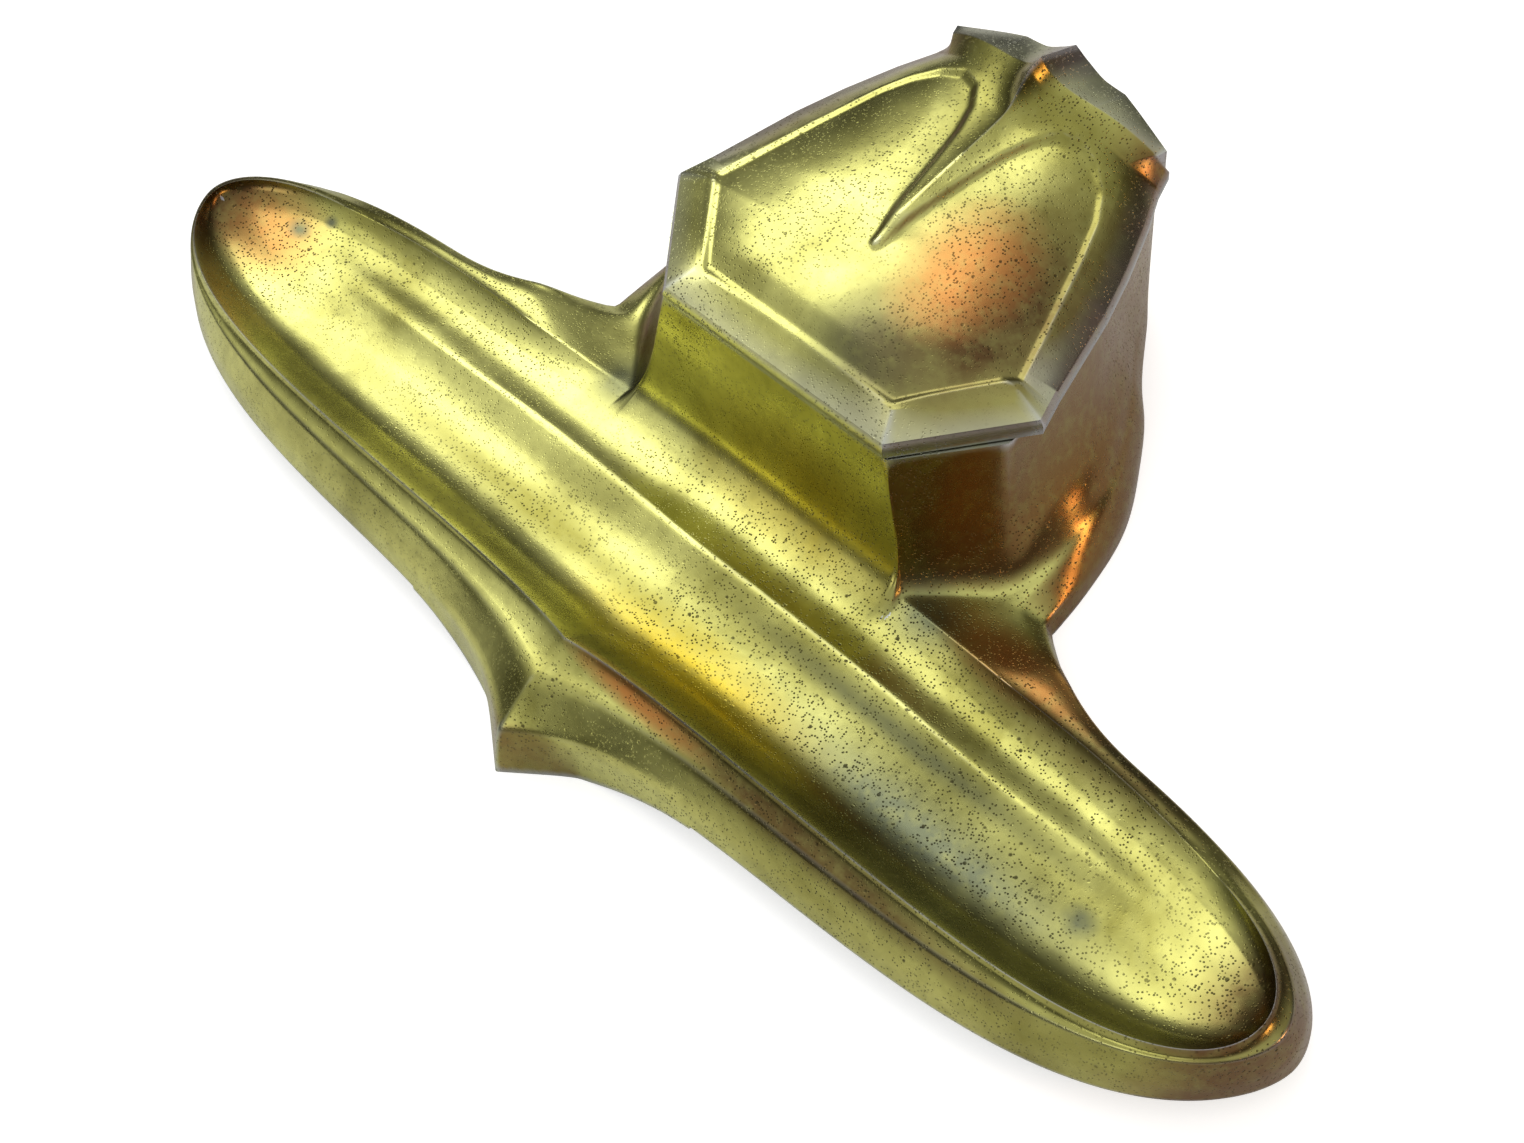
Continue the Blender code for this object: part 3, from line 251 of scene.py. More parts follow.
# Fits, and how many decimals of a metre points or heights must share to count as the same.
SEAT_GAP = 0.0003
CUT_OVERRUN = 0.0010
ON_MIDDLE = SEAT_GAP / 10
SAME_POINT_DIGITS = 7
SAME_HEIGHT_DIGITS = 9

# How finely the skins are divided, and how much closer their lines stand near the middle and the foot.
FRONT_STEPS = 10
LINE_STEPS = 2
TRAY_STEPS = 24
WALL_ROWS = 8
STRIP_STEPS = 3
LID_ROW_STEPS = 12
LID_COLUMNS = 64
HOLE_SEGMENTS = 20
SUBDIVISIONS = 2
FAN_POWER = 1.3
WALL_ROW_POWER = 1.4

# Edges: bends over this angle are kept tight, by a part that all have and a part that grows with the bend.
LEAST_BEND = 24
BEND_TIGHTNESS = 0.62
BEND_SHARES = (0.35, 0.65)
PROW_TIGHTNESS = 0.42
CAP_CORNERS = 8
BODY_SHARP_ANGLE = 50
LID_SHARP_ANGLE = 40
# The least cosine of half a corner's turn that an inset counts with, so that no sharp corner runs far in.
LEAST_TURN_COSINE = 0.7

# Places that follow. Everything is centred in y at the end.
HINGE_Y = WELL_FRONT_Y + WELL_DEPTH + SEAT_GAP + BARREL_RADIUS
HINGE_Z = WELL_HEIGHT + SEAT_GAP / 2
LID_BASE_Z = WELL_HEIGHT + SEAT_GAP
BACK_Y = WELL_FRONT_Y + WELL_DEPTH
MIDDLE_Y = (TOE_FRONT_Y + HINGE_Y + BARREL_RADIUS) / 2


def mesh_from(name, points, faces):
    """A closed mesh from points and faces, in which points that coincide are one."""
    work = bmesh.new()
    corners = {}
    index = []
    for point in points:
        key = tuple(np.round(point, SAME_POINT_DIGITS) + 0.0)
        if key not in corners:
            corners[key] = work.verts.new(point)
        index.append(corners[key])
    for face in faces:
        loop = []
        for corner in (index[i] for i in face):
            if corner not in loop:
                loop.append(corner)
        if len(loop) > 2 and not work.faces.get(loop):
            work.faces.new(loop)
    bmesh.ops.recalc_face_normals(work, faces=work.faces)
    mesh = bpy.data.meshes.new(name)
    work.to_mesh(mesh)
    work.free()
    return mesh


def skin(name, grids, loops):
    """A closed mesh from grids of points on the right, their mirror images and whole loops."""
    points, faces = [], []
    for grid in grids:
        grid = np.asarray(grid, float)
        for side in (1, -1):
            start = len(points)
            points += list(grid.reshape(-1, 3) * (side, 1, 1))
            rows, columns = grid.shape[:2]
            for i in range(rows - 1):
                for j in range(columns - 1):
                    a = start + i * columns + j
                    faces.append((a, a + 1, a + columns + 1, a + columns))
    for loop in loops:
        faces.append(tuple(range(len(points), len(points) + len(loop))))
        points += list(loop)
    return mesh_from(name, points, faces)


def both_sides(half):
    """A loop from its right half, which starts and ends on the middle plane."""
    half = [tuple(point) for point in half]
    return half + [(-x, y, z) for x, y, z in half[-2:0:-1]]


def rings_faces(count, around):
    """Quads between rings of points, with a cap on the first and the last ring."""
    faces = []
    for ring in range(count - 1):
        for i in range(around):
            j = (i + 1) % around
            a, b = ring * around, (ring + 1) * around
            faces.append((a + i, a + j, b + j, b + i))
    faces.append(tuple(range(around)))
    faces.append(tuple((count - 1) * around + i for i in range(around)))
    return faces


def loft(name, rings):
    """A closed mesh through rings that have as many points each."""
    points = [point for ring in rings for point in ring]
    return mesh_from(name, points, rings_faces(len(rings), len(rings[0])))


def curve_through(points, steps):
    """A Catmull-Rom curve through the points, with its own number of steps for each stretch."""
    points = np.asarray(points, float)
    padded = np.vstack([2 * points[0] - points[1], points, 2 * points[-1] - points[-2]])
    out = []
    for i, count in enumerate(steps):
        a, b, c, d = padded[i:i + 4]
        for t in np.arange(count) / count:
            out.append(0.5 * (2 * b + (c - a) * t + (2 * a - 5 * b + 4 * c - d) * t ** 2
                              + (3 * b - a - 3 * c + d) * t ** 3))
    out.append(points[len(steps)])
    return np.array(out)


def smoothstep(share):
    """0 up to 0 and 1 from 1 on, easing in and out between them."""
    share = np.clip(share, 0, 1)
    return share * share * (3 - 2 * share)


def smooth_interp(x, places, values):
    """Interpolation through a table by a monotone cubic, so that reflections run over it without kinks."""
    places, values = np.asarray(places, float), np.asarray(values, float)
    steps = np.diff(places)
    slopes = np.diff(values) / steps
    tangents = np.zeros(len(places))
    same = slopes[:-1] * slopes[1:] > 0
    tangents[1:-1][same] = 2 * slopes[:-1][same] * slopes[1:][same] / (slopes[:-1][same] + slopes[1:][same])
    tangents[0], tangents[-1] = slopes[0], slopes[-1]
    x = np.clip(x, places[0], places[-1])
    i = np.clip(np.searchsorted(places, x, side="right") - 1, 0, len(steps) - 1)
    t = (x - places[i]) / steps[i]
    return (values[i] * (1 + 2 * t) * (1 - t) ** 2 + tangents[i] * steps[i] * t * (1 - t) ** 2
            + values[i + 1] * t ** 2 * (3 - 2 * t) - tangents[i + 1] * steps[i] * t ** 2 * (1 - t))


def between(start, end, steps):
    """Points in a straight line from each start to its end, as a grid with steps + 1 rows."""
    start, end = np.asarray(start, float), np.asarray(end, float)
    return np.array([start + (end - start) * i / steps for i in range(steps + 1)])


def place(x, y, z):
    """Points from their coordinates, each an array or a single value."""
    return np.stack(np.broadcast_arrays(x, y, z), axis=-1)


def swell(x, half_length, size, powers):
    """How far an outline stands out along its length: its whole size in the middle, 0 at its tip."""
    straight, rounding = powers
    return size * np.clip(1 - (x / half_length) ** straight, 0, 1) ** rounding


def prow(x, size):
    """How much further an outline runs out towards the point of the prow."""
    return size * np.exp(-x / PROW_RUN) * np.clip(1 - x / RIM_HALF_LENGTH, 0, 1)


def sweep(x, start, power):
    """1 where a line starts on the well box, falling to 0 at the end of the shoulder."""
    return np.clip((SHOULDER_REACH_X - x) / (SHOULDER_REACH_X - start), 0, None) ** power


def dip(x, start):
    """1 where a line starts on the well box, easing to 0 where it has climbed to its own height."""
    return smoothstep((DIP_REACH_X - x) / (DIP_REACH_X - start))


def lowered(x, half_length):
    """0 at the tip, rising to 1 where a line behind has come down from it."""
    return np.clip((half_length - x) / (half_length - BACK_DROP_X), 0, 1) ** BACK_DROP_POWER


def rim_front(x):
    y = RIM_TIP_Y - swell(x, RIM_HALF_LENGTH, RIM_FRONT, RIM_FRONT_POWERS) - prow(x, RIM_PROW)
    return place(x, y, RIM_HEIGHT)


def crease_front(x):
    out = swell(x, CREASE_HALF_LENGTH, CREASE_FRONT, CREASE_FRONT_POWERS)
    return place(x, CREASE_TIP_Y - out - prow(x, CREASE_PROW), CREASE_HEIGHT)


def edge_front(x):
    out = swell(x, EDGE_HALF_LENGTH, EDGE_FRONT, EDGE_FRONT_POWERS)
    return place(x, EDGE_TIP_Y - out - prow(x, EDGE_PROW), EDGE_HEIGHT)


def skirt_front(x):
    """The skirt's lower edge in front; at the toe it runs out and down to the desk."""
    out = swell(x, SKIRT_HALF_LENGTH, SKIRT_FRONT, SKIRT_FRONT_POWERS)
    y = SKIRT_TIP_Y - out - prow(x, EDGE_PROW)
    toe_y = TOE_FRONT_Y + TOE_SLOPE * x
    rise = smoothstep((x - TOE_HALF_WIDTH + TOE_SIDE_RUN) / (SKIRT_RISE_X - TOE_HALF_WIDTH))
    z = SKIRT_CLEARANCE * rise ** SKIRT_RISE_POWER
    return place(x, np.where(x < TOE_HALF_WIDTH, np.minimum(y, toe_y), y), z)


def rim_back(x):
    tuck = np.clip((TUCK_REACH_X - x) / (TUCK_REACH_X - RIM_START_X), 0, None)
    y = RIM_TIP_Y + swell(x, RIM_HALF_LENGTH, RIM_BACK, RIM_BACK_POWERS) + RIM_TUCK * tuck
    z = RIM_HEIGHT - RIM_BACK_DROP * lowered(x, RIM_HALF_LENGTH) - RIM_DIP * dip(x, RIM_START_X)
    return place(x, y, z)


def crease_back(x):
    y = CREASE_TIP_Y + swell(x, CREASE_HALF_LENGTH, CREASE_BACK, CREASE_BACK_POWERS)
    drop = CREASE_BACK_DROP * lowered(x, CREASE_HALF_LENGTH)
    z = CREASE_HEIGHT - drop - CREASE_DIP * dip(x, CREASE_START_X)
    return place(x, y + CREASE_SWEEP * sweep(x, CREASE_START_X, CREASE_SWEEP_POWER), z)


def edge_back(x):
    y = EDGE_TIP_Y + swell(x, EDGE_HALF_LENGTH, EDGE_BACK, EDGE_BACK_POWERS)
    z = EDGE_HEIGHT - EDGE_DIP * dip(x, EDGE_START_X)
    return place(x, y + EDGE_SWEEP * sweep(x, EDGE_START_X, EDGE_SWEEP_POWER), z)


def skirt_back(x):
    y = SKIRT_TIP_Y + swell(x, SKIRT_HALF_LENGTH, SKIRT_BACK, SKIRT_BACK_POWERS)
    z = SKIRT_CLEARANCE * (1 - np.clip(sweep(x, SKIRT_START_X, SKIRT_FALL_POWER), 0, 1))
    return place(x, y + SKIRT_SWEEP * sweep(x, SKIRT_START_X, SKIRT_SWEEP_POWER), z)


def well_place(half_width, depth, height):
    """A place on the box from shares of its half width and depth, and a height."""
    return half_width * WELL_HALF_WIDTH, WELL_FRONT_Y + depth * WELL_DEPTH, height


def tray_places(start, half_length):
    """Places along x from the well box to the tip, closer together towards the tip."""
    turn = np.linspace(0, math.pi / 2, TRAY_STEPS + 1)
    return start + (half_length - start) * np.sin(turn)


def box_line(shares, foot, ahead):
    """A line down the box from its table of shares, through the foot it shares with a line of the tray."""
    points = []
    for half_width, depth, climb in shares:
        points.append(well_place(half_width, depth, foot[2] + climb * (WELL_HEIGHT - foot[2])))
    points += [tuple(foot), tuple(ahead)]
    return curve_through(points, [LINE_STEPS] * len(shares))


def front_places():
    """The columns' places along the front rim, from the middle to the tip."""
    shares = (np.arange(FRONT_STEPS + 1) / FRONT_STEPS) ** FAN_POWER
    fan = np.append(shares * FRONT_FAN_X, [TOE_HALF_WIDTH, TOE_HALF_WIDTH - TOE_SIDE_RUN])
    fan = np.unique(np.round(fan, SAME_POINT_DIGITS))
    lines = len(CORNER_SHARES) * LINE_STEPS
    corner = np.linspace(FRONT_FAN_X, RIM_START_X, lines + 1)[1:]
    return fan, corner, tray_places(RIM_START_X, RIM_HALF_LENGTH)[1:]


def room_at(x):
    """How much of the tray's depth there is at a place along it: all in the middle, none at its tip."""
    return swell(x, RIM_HALF_LENGTH, 1, TIP_POWERS)


def back_columns():
    """Matched points for each column: the front rim, the trough's foot and the rim behind it."""
    fan, corner, tray = front_places()
    front = rim_front(np.concatenate([fan, corner, tray]))
    share = fan / FRONT_FAN_X
    top_y = WELL_FRONT_Y + (FACE_TOP_SHARE + share * (CORNER_SHARES[0][1] - FACE_TOP_SHARE)) * WELL_DEPTH
    top = place(share * CORNER_SHARES[0][0] * WELL_HALF_WIDTH, top_y, WELL_HEIGHT)
    tray_line = rim_back(tray_places(RIM_START_X, RIM_HALF_LENGTH))
    edge = box_line(CORNER_SHARES, tray_line[0], tray_line[1])
    back = np.vstack([top, edge[1:], tray_line[1:]])
    under_corner = np.linspace(FOOT_FAN_X, RIM_START_X, len(corner) + 1)[1:]
    foot_x = np.concatenate([share * FOOT_FAN_X, under_corner, tray])
    room = room_at(foot_x)
    apart = smoothstep((foot_x - FOOT_SWEEP_START_X) / (FOOT_SWEEP_END_X - FOOT_SWEEP_START_X))
    foot_y = FOOT_Y * (1 - apart) + (rim_back(foot_x)[:, 1] - BACK_WALL_RUN * room) * apart
    foot = place(foot_x, foot_y, RIM_HEIGHT - TROUGH_DEPTH * TROUGH_SHARES[-1][1] * room)
    return front, foot, back, room


def trough_floor(across, y, x, room):
    """Height of the trough's floor: its table of depths, less the long ridge."""
    places, depths = np.array([(0, 0), *TROUGH_SHARES]).T
    depth = TROUGH_DEPTH * smooth_interp(across, places, depths)
    fade = 1 - smoothstep((x - RIDGE_FADE_X) / (RIDGE_END_X - RIDGE_FADE_X))
    depth -= RIDGE_RISE * fade * np.exp(-((y - RIDGE_Y) / RIDGE_RUN) ** 2)
    return RIM_HEIGHT - depth * room


def face_profile(climb):
    """How far the face has run back where it has climbed this share of its height."""
    heights, depths = np.array(FACE_SHARES).T
    return smooth_interp(climb, heights, depths)


def trough_grid():
    """The trough from the front rim to its foot and on up the box's face or its own back wall."""
    front, foot, back, room = back_columns()
    rows = [front]
    for across, _ in TROUGH_SHARES:
        row = front + (foot - front) * across
        row[:, 2] = trough_floor(across, row[:, 1], row[:, 0], room)
        rows.append(row)
    rows[-1] = foot
    reach = (back[:, 2] - foot[:, 2]) / (WELL_HEIGHT - foot[:, 2])
    for i in range(1, WALL_ROWS + 1):
        climb = (i / WALL_ROWS) ** WALL_ROW_POWER
        row = foot + (back - foot) * climb
        run = face_profile(climb * reach) / np.maximum(face_profile(reach), SEAT_GAP)
        row[:, 1] = foot[:, 1] + (back[:, 1] - foot[:, 1]) * (run if i < WALL_ROWS else 1)
        rows.append(row)
    return np.array(rows)


def stretched(x, half_length):
    """A place along the rim moved out to the same place along a longer line."""
    return x + (half_length - RIM_HALF_LENGTH) * (x / RIM_HALF_LENGTH) ** 3


def cove(rim, crease, bend):
    """Rows from the rim to the crease: straight where bend is 0, hollowed where it is 1."""
    rows = between(rim, crease, STRIP_STEPS)
    for row, (run, drop) in zip(rows[1:], COVE_SHARES):
        hollowed = rim + (crease - rim) * (run, run, drop)
        row += (hollowed - row) * np.asarray(bend)[:, None]
    return rows


def front_grid():
    """The tray's front from the rim down to the skirt's lower edge."""
    places = np.concatenate(front_places())
    rim = rim_front(places)
    crease = crease_front(stretched(places, CREASE_HALF_LENGTH))
    edge = edge_front(stretched(places, EDGE_HALF_LENGTH))
    skirt = skirt_front(stretched(places, SKIRT_HALF_LENGTH))
    hollowed = cove(rim, crease, np.ones(len(places)))
    return np.vstack([hollowed, between(crease, edge, 2)[1:], between(edge, skirt, 2)[1:]])


def crease_columns():
    """The box's chamfer edge from its top down to the crease line, then that line to the tip."""
    tray_line = crease_back(tray_places(CREASE_START_X, CREASE_HALF_LENGTH))
    edge = box_line(CHAMFER_SHARES, tray_line[0], tray_line[1])
    return np.vstack([edge, tray_line[1:]])


def ledge_grid():
    """The chamfer of the box and the ledge behind the rim, as one strip."""
    corner = back_columns()[2][len(front_places()[0]) - 1:]
    bend = smoothstep((corner[:, 0] - RIM_START_X) / (COVE_REACH_X - RIM_START_X))
    return cove(corner, crease_columns(), bend)


def back_rows():
    """The tray's back below the crease, from the box's foot to the tip."""
    crease = crease_back(tray_places(CREASE_START_X, CREASE_HALF_LENGTH))
    edge = edge_back(tray_places(EDGE_START_X, EDGE_HALF_LENGTH))
    skirt = skirt_back(tray_places(SKIRT_START_X, SKIRT_HALF_LENGTH))
    return np.array([crease, (crease + edge) / 2, edge, (edge + skirt) / 2, skirt])


def side_grid():
    """The box's side and back: rows from top to desk, columns from the chamfer edge round to the middle."""
    chamfer = np.vstack([crease_columns()[:len(CHAMFER_SHARES) * LINE_STEPS], back_rows()[:, 0]])
    ribs = [chamfer]
    for shares in SIDE_SHARES:
        line = [well_place(*point[:2], point[2] * WELL_HEIGHT) for point in shares]
        ribs.append(curve_through(line, [LINE_STEPS] * (len(line) - 1)))
    heights = ribs[-1][:, 2]
    for half_width, depth in BACK_SHARES:
        x, y, _ = well_place(half_width, depth, 0)
        ribs.append(place(x, y, heights))
    rows = []
    for row in np.array(ribs).swapaxes(0, 1):
        bulge = curve_through(row[:4], [STRIP_STEPS] * 3)
        rows.append(np.vstack([bulge, row[4:]]))
    return np.array(rows)


def build_skin(name):
    """The whole outside of tray, box and toe as one closed shape."""
    trough, front, ledge, back, side = trough_grid(), front_grid(), ledge_grid(), back_rows(), side_grid()
    top_edge = trough[-1][:len(front_places()[0])]
    top = both_sides(np.vstack([top_edge, ledge[1:, 0], side[0][1:]]))
    tray_start = len(front_places()[0]) + len(front_places()[1]) - 1
    foot = both_sides(np.vstack([front[-1][:tray_start + 1], side[-1]]))
    sole = between(front[-1][tray_start:], back[-1], 1)
    return skin(name, [trough, front, ledge, back, side, sole], [top, foot])


def line_at(line, height):
    """Where a line of points down the box passes a height, as (x, y)."""
    heights = np.round(line[::-1, 2], SAME_HEIGHT_DIGITS)
    return np.interp(height, heights, line[::-1, 0]), np.interp(height, heights, line[::-1, 1])


def well_ring(height):
    """The box's outside loop at a height; below its waist the front keeps the waist's outline."""
    waist = max(height, HOLLOW_WAIST)
    foot_z = RIM_HEIGHT - TROUGH_DEPTH * TROUGH_SHARES[-1][1]
    climb = max(height - foot_z, 0) / (WELL_HEIGHT - foot_z)
    face_y = FOOT_Y + (WELL_FRONT_Y + FACE_TOP_SHARE * WELL_DEPTH - FOOT_Y) * face_profile(climb)
    side = side_grid()
    corner = back_columns()[2][len(front_places()[0]) - 1:]
    corner = corner[:len(CORNER_SHARES) * LINE_STEPS - 1]
    corner_x, corner_y = line_at(corner, waist)
    half = [(0, face_y), (corner_x, max(corner_y, face_y) if height < HOLLOW_WAIST else corner_y)]
    half.append(line_at(side[:, 0], waist))
    half += [line_at(side[:, i], height) for i in range(STRIP_STEPS, 3 * STRIP_STEPS + 1, STRIP_STEPS)]
    half += [line_at(side[:, i], height) for i in range(3 * STRIP_STEPS + 1, side.shape[1])]
    return both_sides([(x, y, height) for x, y in half])


def inset(ring, distance):
    """The ring moved inwards, each point along the mean of its two sides' normals."""
    points = np.array(ring, float)
    before, after = np.roll(points, 1, axis=0), np.roll(points, -1, axis=0)
    normals = []
    for sides in (points - before, after - points):
        normal = np.stack([-sides[:, 1], sides[:, 0]], axis=1)
        normals.append(normal / np.linalg.norm(normal, axis=1, keepdims=True))
    mean = normals[0] + normals[1]
    mean /= np.linalg.norm(mean, axis=1, keepdims=True)
    reach = distance / np.maximum(np.sum(mean * normals[0], axis=1), LEAST_TURN_COSINE)
    points[:, :2] += mean * reach[:, None]
    points[np.abs(points[:, 0]) < ON_MIDDLE, 0] = 0
    return [tuple(point) for point in points]


def at_height(ring, height):
    return [(x, y, height) for x, y, _ in ring]


def deck_seat():
    return WELL_HEIGHT - DECK_DROP


def well_hollow():
    """The room inside the box: wide above the deck's ledge, narrower below it."""
    seat = deck_seat()
    lower = BODY_WALL + LEDGE_WIDTH
    levels = [HOLLOW_WAIST * share for share in WAIST_SHARES]
    rings = [at_height(inset(well_ring(levels[0]), lower), -CUT_OVERRUN)]
    rings += [inset(well_ring(level), lower) for level in levels]
    rings += [inset(well_ring(seat), lower), inset(well_ring(seat), BODY_WALL)]
    rings.append(inset(well_ring(seat + DECK_THICKNESS + SEAT_GAP), BODY_WALL))
    rings.append(inset(well_ring(WELL_HEIGHT), BODY_WALL))
    rings.append(at_height(rings[-1], WELL_HEIGHT + CUT_OVERRUN))
    return loft("well_hollow", rings)


def tray_hollow():
    """The room under the tray, one wall inside its skin and open to the desk."""
    foot = back_columns()[1]
    sections = []
    outer = tray_places(HOLLOW_SPAN_X, RIM_HALF_LENGTH - 2 * BODY_WALL)
    for x in np.append(np.linspace(0, HOLLOW_SPAN_X, HOLLOW_STEPS + 1), outer[1:]):
        room = room_at(x)
        wall = BODY_WALL * room
        halves = (CREASE_HALF_LENGTH, EDGE_HALF_LENGTH, SKIRT_HALF_LENGTH)
        crease_x, edge_x, skirt_x = (stretched(x, half) for half in halves)
        section = [
            (skirt_x, skirt_front(skirt_x)[1] + wall, -CUT_OVERRUN),
            edge_front(edge_x) + (0, wall, -BODY_WALL),
            crease_front(crease_x) + (0, wall, -BODY_WALL),
        ]
        rim_y, foot_y = rim_front(x)[1], np.interp(x, foot[:, 0], foot[:, 1])
        for across in HOLLOW_SHARES:
            y = rim_y + across * (foot_y - rim_y)
            section.append((x, y, trough_floor(across, y, x, room) - BODY_WALL))
        under = smoothstep((x - RIM_START_X) / (CREASE_START_X - RIM_START_X))
        rim_z = HOLLOW_LOW + (rim_back(x)[2] - 1.5 * BODY_WALL - HOLLOW_LOW) * under
        section += [
            (x, rim_back(max(x, RIM_START_X))[1], rim_z),
            (crease_x, *(crease_back(max(crease_x, CREASE_START_X))[1:] - (wall, BODY_WALL))),
            (edge_x, *(edge_back(max(edge_x, EDGE_START_X))[1:] - (wall, BODY_WALL / 2))),
            (skirt_x, skirt_back(max(skirt_x, SKIRT_START_X))[1] - wall, -CUT_OVERRUN),
        ]
        sections.append([tuple(point) for point in section])
    mirrored = [[(-x, y, z) for x, y, z in section] for section in sections[:0:-1]]
    return loft("tray_hollow", mirrored + sections)


def cylinder(name, radius, start, end):
    """A plain cylinder between two points that lie along one of the axes."""
    start, end = np.array(start, float), np.array(end, float)
    axis = (end - start) / np.linalg.norm(end - start)
    across = np.roll(axis, 1)
    up = np.cross(axis, across)
    rings = []
    for centre in (start, end):
        turns = [2 * math.pi * i / HOLE_SEGMENTS for i in range(HOLE_SEGMENTS)]
        rings.append([tuple(centre + radius * (math.cos(t) * across + math.sin(t) * up)) for t in turns])
    return loft(name, rings)


def lid_side(draw_in=0.0):
    """The lid's right side outline, front to back, drawn in by a distance."""
    points = np.array([(x * LID_HALF_WIDTH, LID_FRONT_Y + y * LID_DEPTH) for x, y in LID_SIDE_SHARES])
    loop = [(x, y, 0) for x, y in points] + [(-x, y, 0) for x, y in points[-2::-1]]
    moved = np.array(inset(loop, draw_in))[:len(points), :2]
    moved[-1, 0] = 0
    return moved


def crown_side(draw_in=0.0):
    """The inner edge of the bevel on the right side, from the front corner back to the crest's end."""
    edge = lid_side(LID_BEVEL_RUN + LID_BAND_DRAFT + draw_in)
    last = len(edge) - 3
    end = (lid_side(LID_BAND_DRAFT + draw_in)[last][0], LID_FRONT_Y + CREST_SIDE_SHARE * LID_DEPTH - draw_in)
    return np.array([*edge[:last], end])


def along(points, place_on):
    """A point along a line of points, by its place counted in points."""
    counts = np.arange(len(points))
    return np.array([np.interp(place_on, counts, column) for column in np.asarray(points).T])


def row_rise(share):
    """Heights of side, crown and spine above the bevel, in the row at this share of the way to the crest."""
    table = np.array(LID_RISE_SHARES)
    return [PEAK_RISE * smooth_interp(share, table[:, 0], table[:, i]) for i in (1, 2, 3)]


def panel_depth(x, y):
    """How deep the recessed panel lies below the lid's own surface here."""
    outline = np.array([(a * LID_HALF_WIDTH, LID_FRONT_Y + b * LID_DEPTH) for a, b in PANEL_SHARES])
    here = np.array([abs(x), y])
    inside = False
    nearest = LID_HALF_WIDTH
    for a, b in zip(outline, outline[1:]):
        share = np.clip(np.dot(here - a, b - a) / np.dot(b - a, b - a), 0, 1)
        nearest = min(nearest, float(np.linalg.norm(a + share * (b - a) - here)))
        if (a[1] > y) != (b[1] > y) and abs(x) < a[0] + (y - a[1]) / (b[1] - a[1]) * (b[0] - a[0]):
            inside = not inside
    return RECESS_DEPTH * float(smoothstep(nearest / RECESS_BANK)) if inside else 0.0


def lid_rows(draw_in, drop):
    """The right half of the lid's top: rows from the front edge to the crest, then its back edge."""
    bevel_top = LID_BASE_Z + LID_BAND + LID_BEVEL_RISE - drop
    side = crown_side(draw_in)
    front_y, end_y = side[0][1], side[-1][1]
    crest_y = LID_FRONT_Y + CREST_BACK_SHARE * LID_DEPTH - draw_in
    columns = np.arange(LID_COLUMNS + 1) / LID_COLUMNS
    rows = []
    for place_on in np.arange((len(side) - 1) * LID_ROW_STEPS + 1) / LID_ROW_STEPS:
        side_x, side_y = along(side, place_on)
        share = (side_y - front_y) / (end_y - front_y)
        middle_y = front_y + share * (crest_y - front_y)
        edge, crown, spine = row_rise(share)
        row = []
        for u in columns:
            x, y = u * side_x, middle_y + u * (side_y - middle_y)
            z = bevel_top + edge + (crown - edge) * (1 - u ** CROWN_POWER)
            z += spine * (math.exp(-u / SPINE_WIDTH_SHARE) - math.exp(-1 / SPINE_WIDTH_SHARE) * u)
            row.append((x, y, z - (0 if drop else panel_depth(x, y))))
        rows.append(row)
    shares, rises = np.array(BACK_EDGE_SHARES).T
    last = []
    for u in columns:
        x, y = outline_back(u, lid_side(draw_in + LID_BAND_DRAFT / 2))
        last.append((x, y, bevel_top + PEAK_RISE * smooth_interp(u, shares, rises)))
    return rows + [last]


def outline_back(u, side):
    """The back of an outline, from its middle at 0 to the back corner at 1."""
    corner, flat, middle = side[-3], side[-2], side[-1]
    turns = (0, flat[0] / corner[0], 1)
    x = np.interp(u, turns, (middle[0], flat[0], corner[0]))
    return x, np.interp(u, turns, (middle[1], flat[1], corner[1]))


def lid_loop(draw_in, height):
    """A loop below the lid's top, point for point with the border of its rows."""
    side = lid_side(draw_in)
    columns = np.arange(LID_COLUMNS + 1) / LID_COLUMNS
    loop = [(u * side[0][0], side[0][1]) for u in columns]
    corner = len(side) - 3
    loop += [tuple(along(side, i / LID_ROW_STEPS)) for i in range(1, corner * LID_ROW_STEPS + 1)]
    loop += [outline_back(u, side) for u in columns[::-1]]
    return [(x, y, height) for x, y in loop]


def lid_mesh(name, draw_in, drop, foot_z):
    """The lid as one closed shape, drawn in on all sides and lowered on top, down to its foot."""
    rows = np.array(lid_rows(draw_in, drop))
    border = [*rows[0], *rows[1:-1, -1], *rows[-1, ::-1]]
    band_top = LID_BASE_Z + LID_BAND - drop
    loops = [border, lid_loop(draw_in + LID_BAND_DRAFT / 2, band_top)]
    if not drop:
        loops.append(lid_loop(0, LID_BASE_Z + LID_SKIRT))
    loops.append([(x, y, foot_z) for x, y, _ in lid_loop(draw_in, 0)])
    return skin(name, [rows, np.array(loops)], [both_sides(loops[-1])])


def new_object(name, data):
    made = bpy.data.objects.new(name, data)
    bpy.context.scene.collection.objects.link(made)
    return made


def evaluate(made):
    """Replaces the object's mesh by what its modifiers give."""
    bpy.context.view_layer.update()
    graph = bpy.context.evaluated_depsgraph_get()
    mesh = bpy.data.meshes.new_from_object(made.evaluated_get(graph))
    made.modifiers.clear()
    made.data = mesh


def cut(made, meshes):
    """Takes the meshes' shapes away from the object."""
    helpers = []
    for mesh in meshes:
        helper = new_object(mesh.name, mesh)
        modifier = made.modifiers.new(mesh.name, "BOOLEAN")
        modifier.operation = "DIFFERENCE"
        modifier.solver = "EXACT"
        modifier.object = helper
        helpers.append(helper)
    evaluate(made)
    for helper in helpers:
        bpy.data.objects.remove(helper)


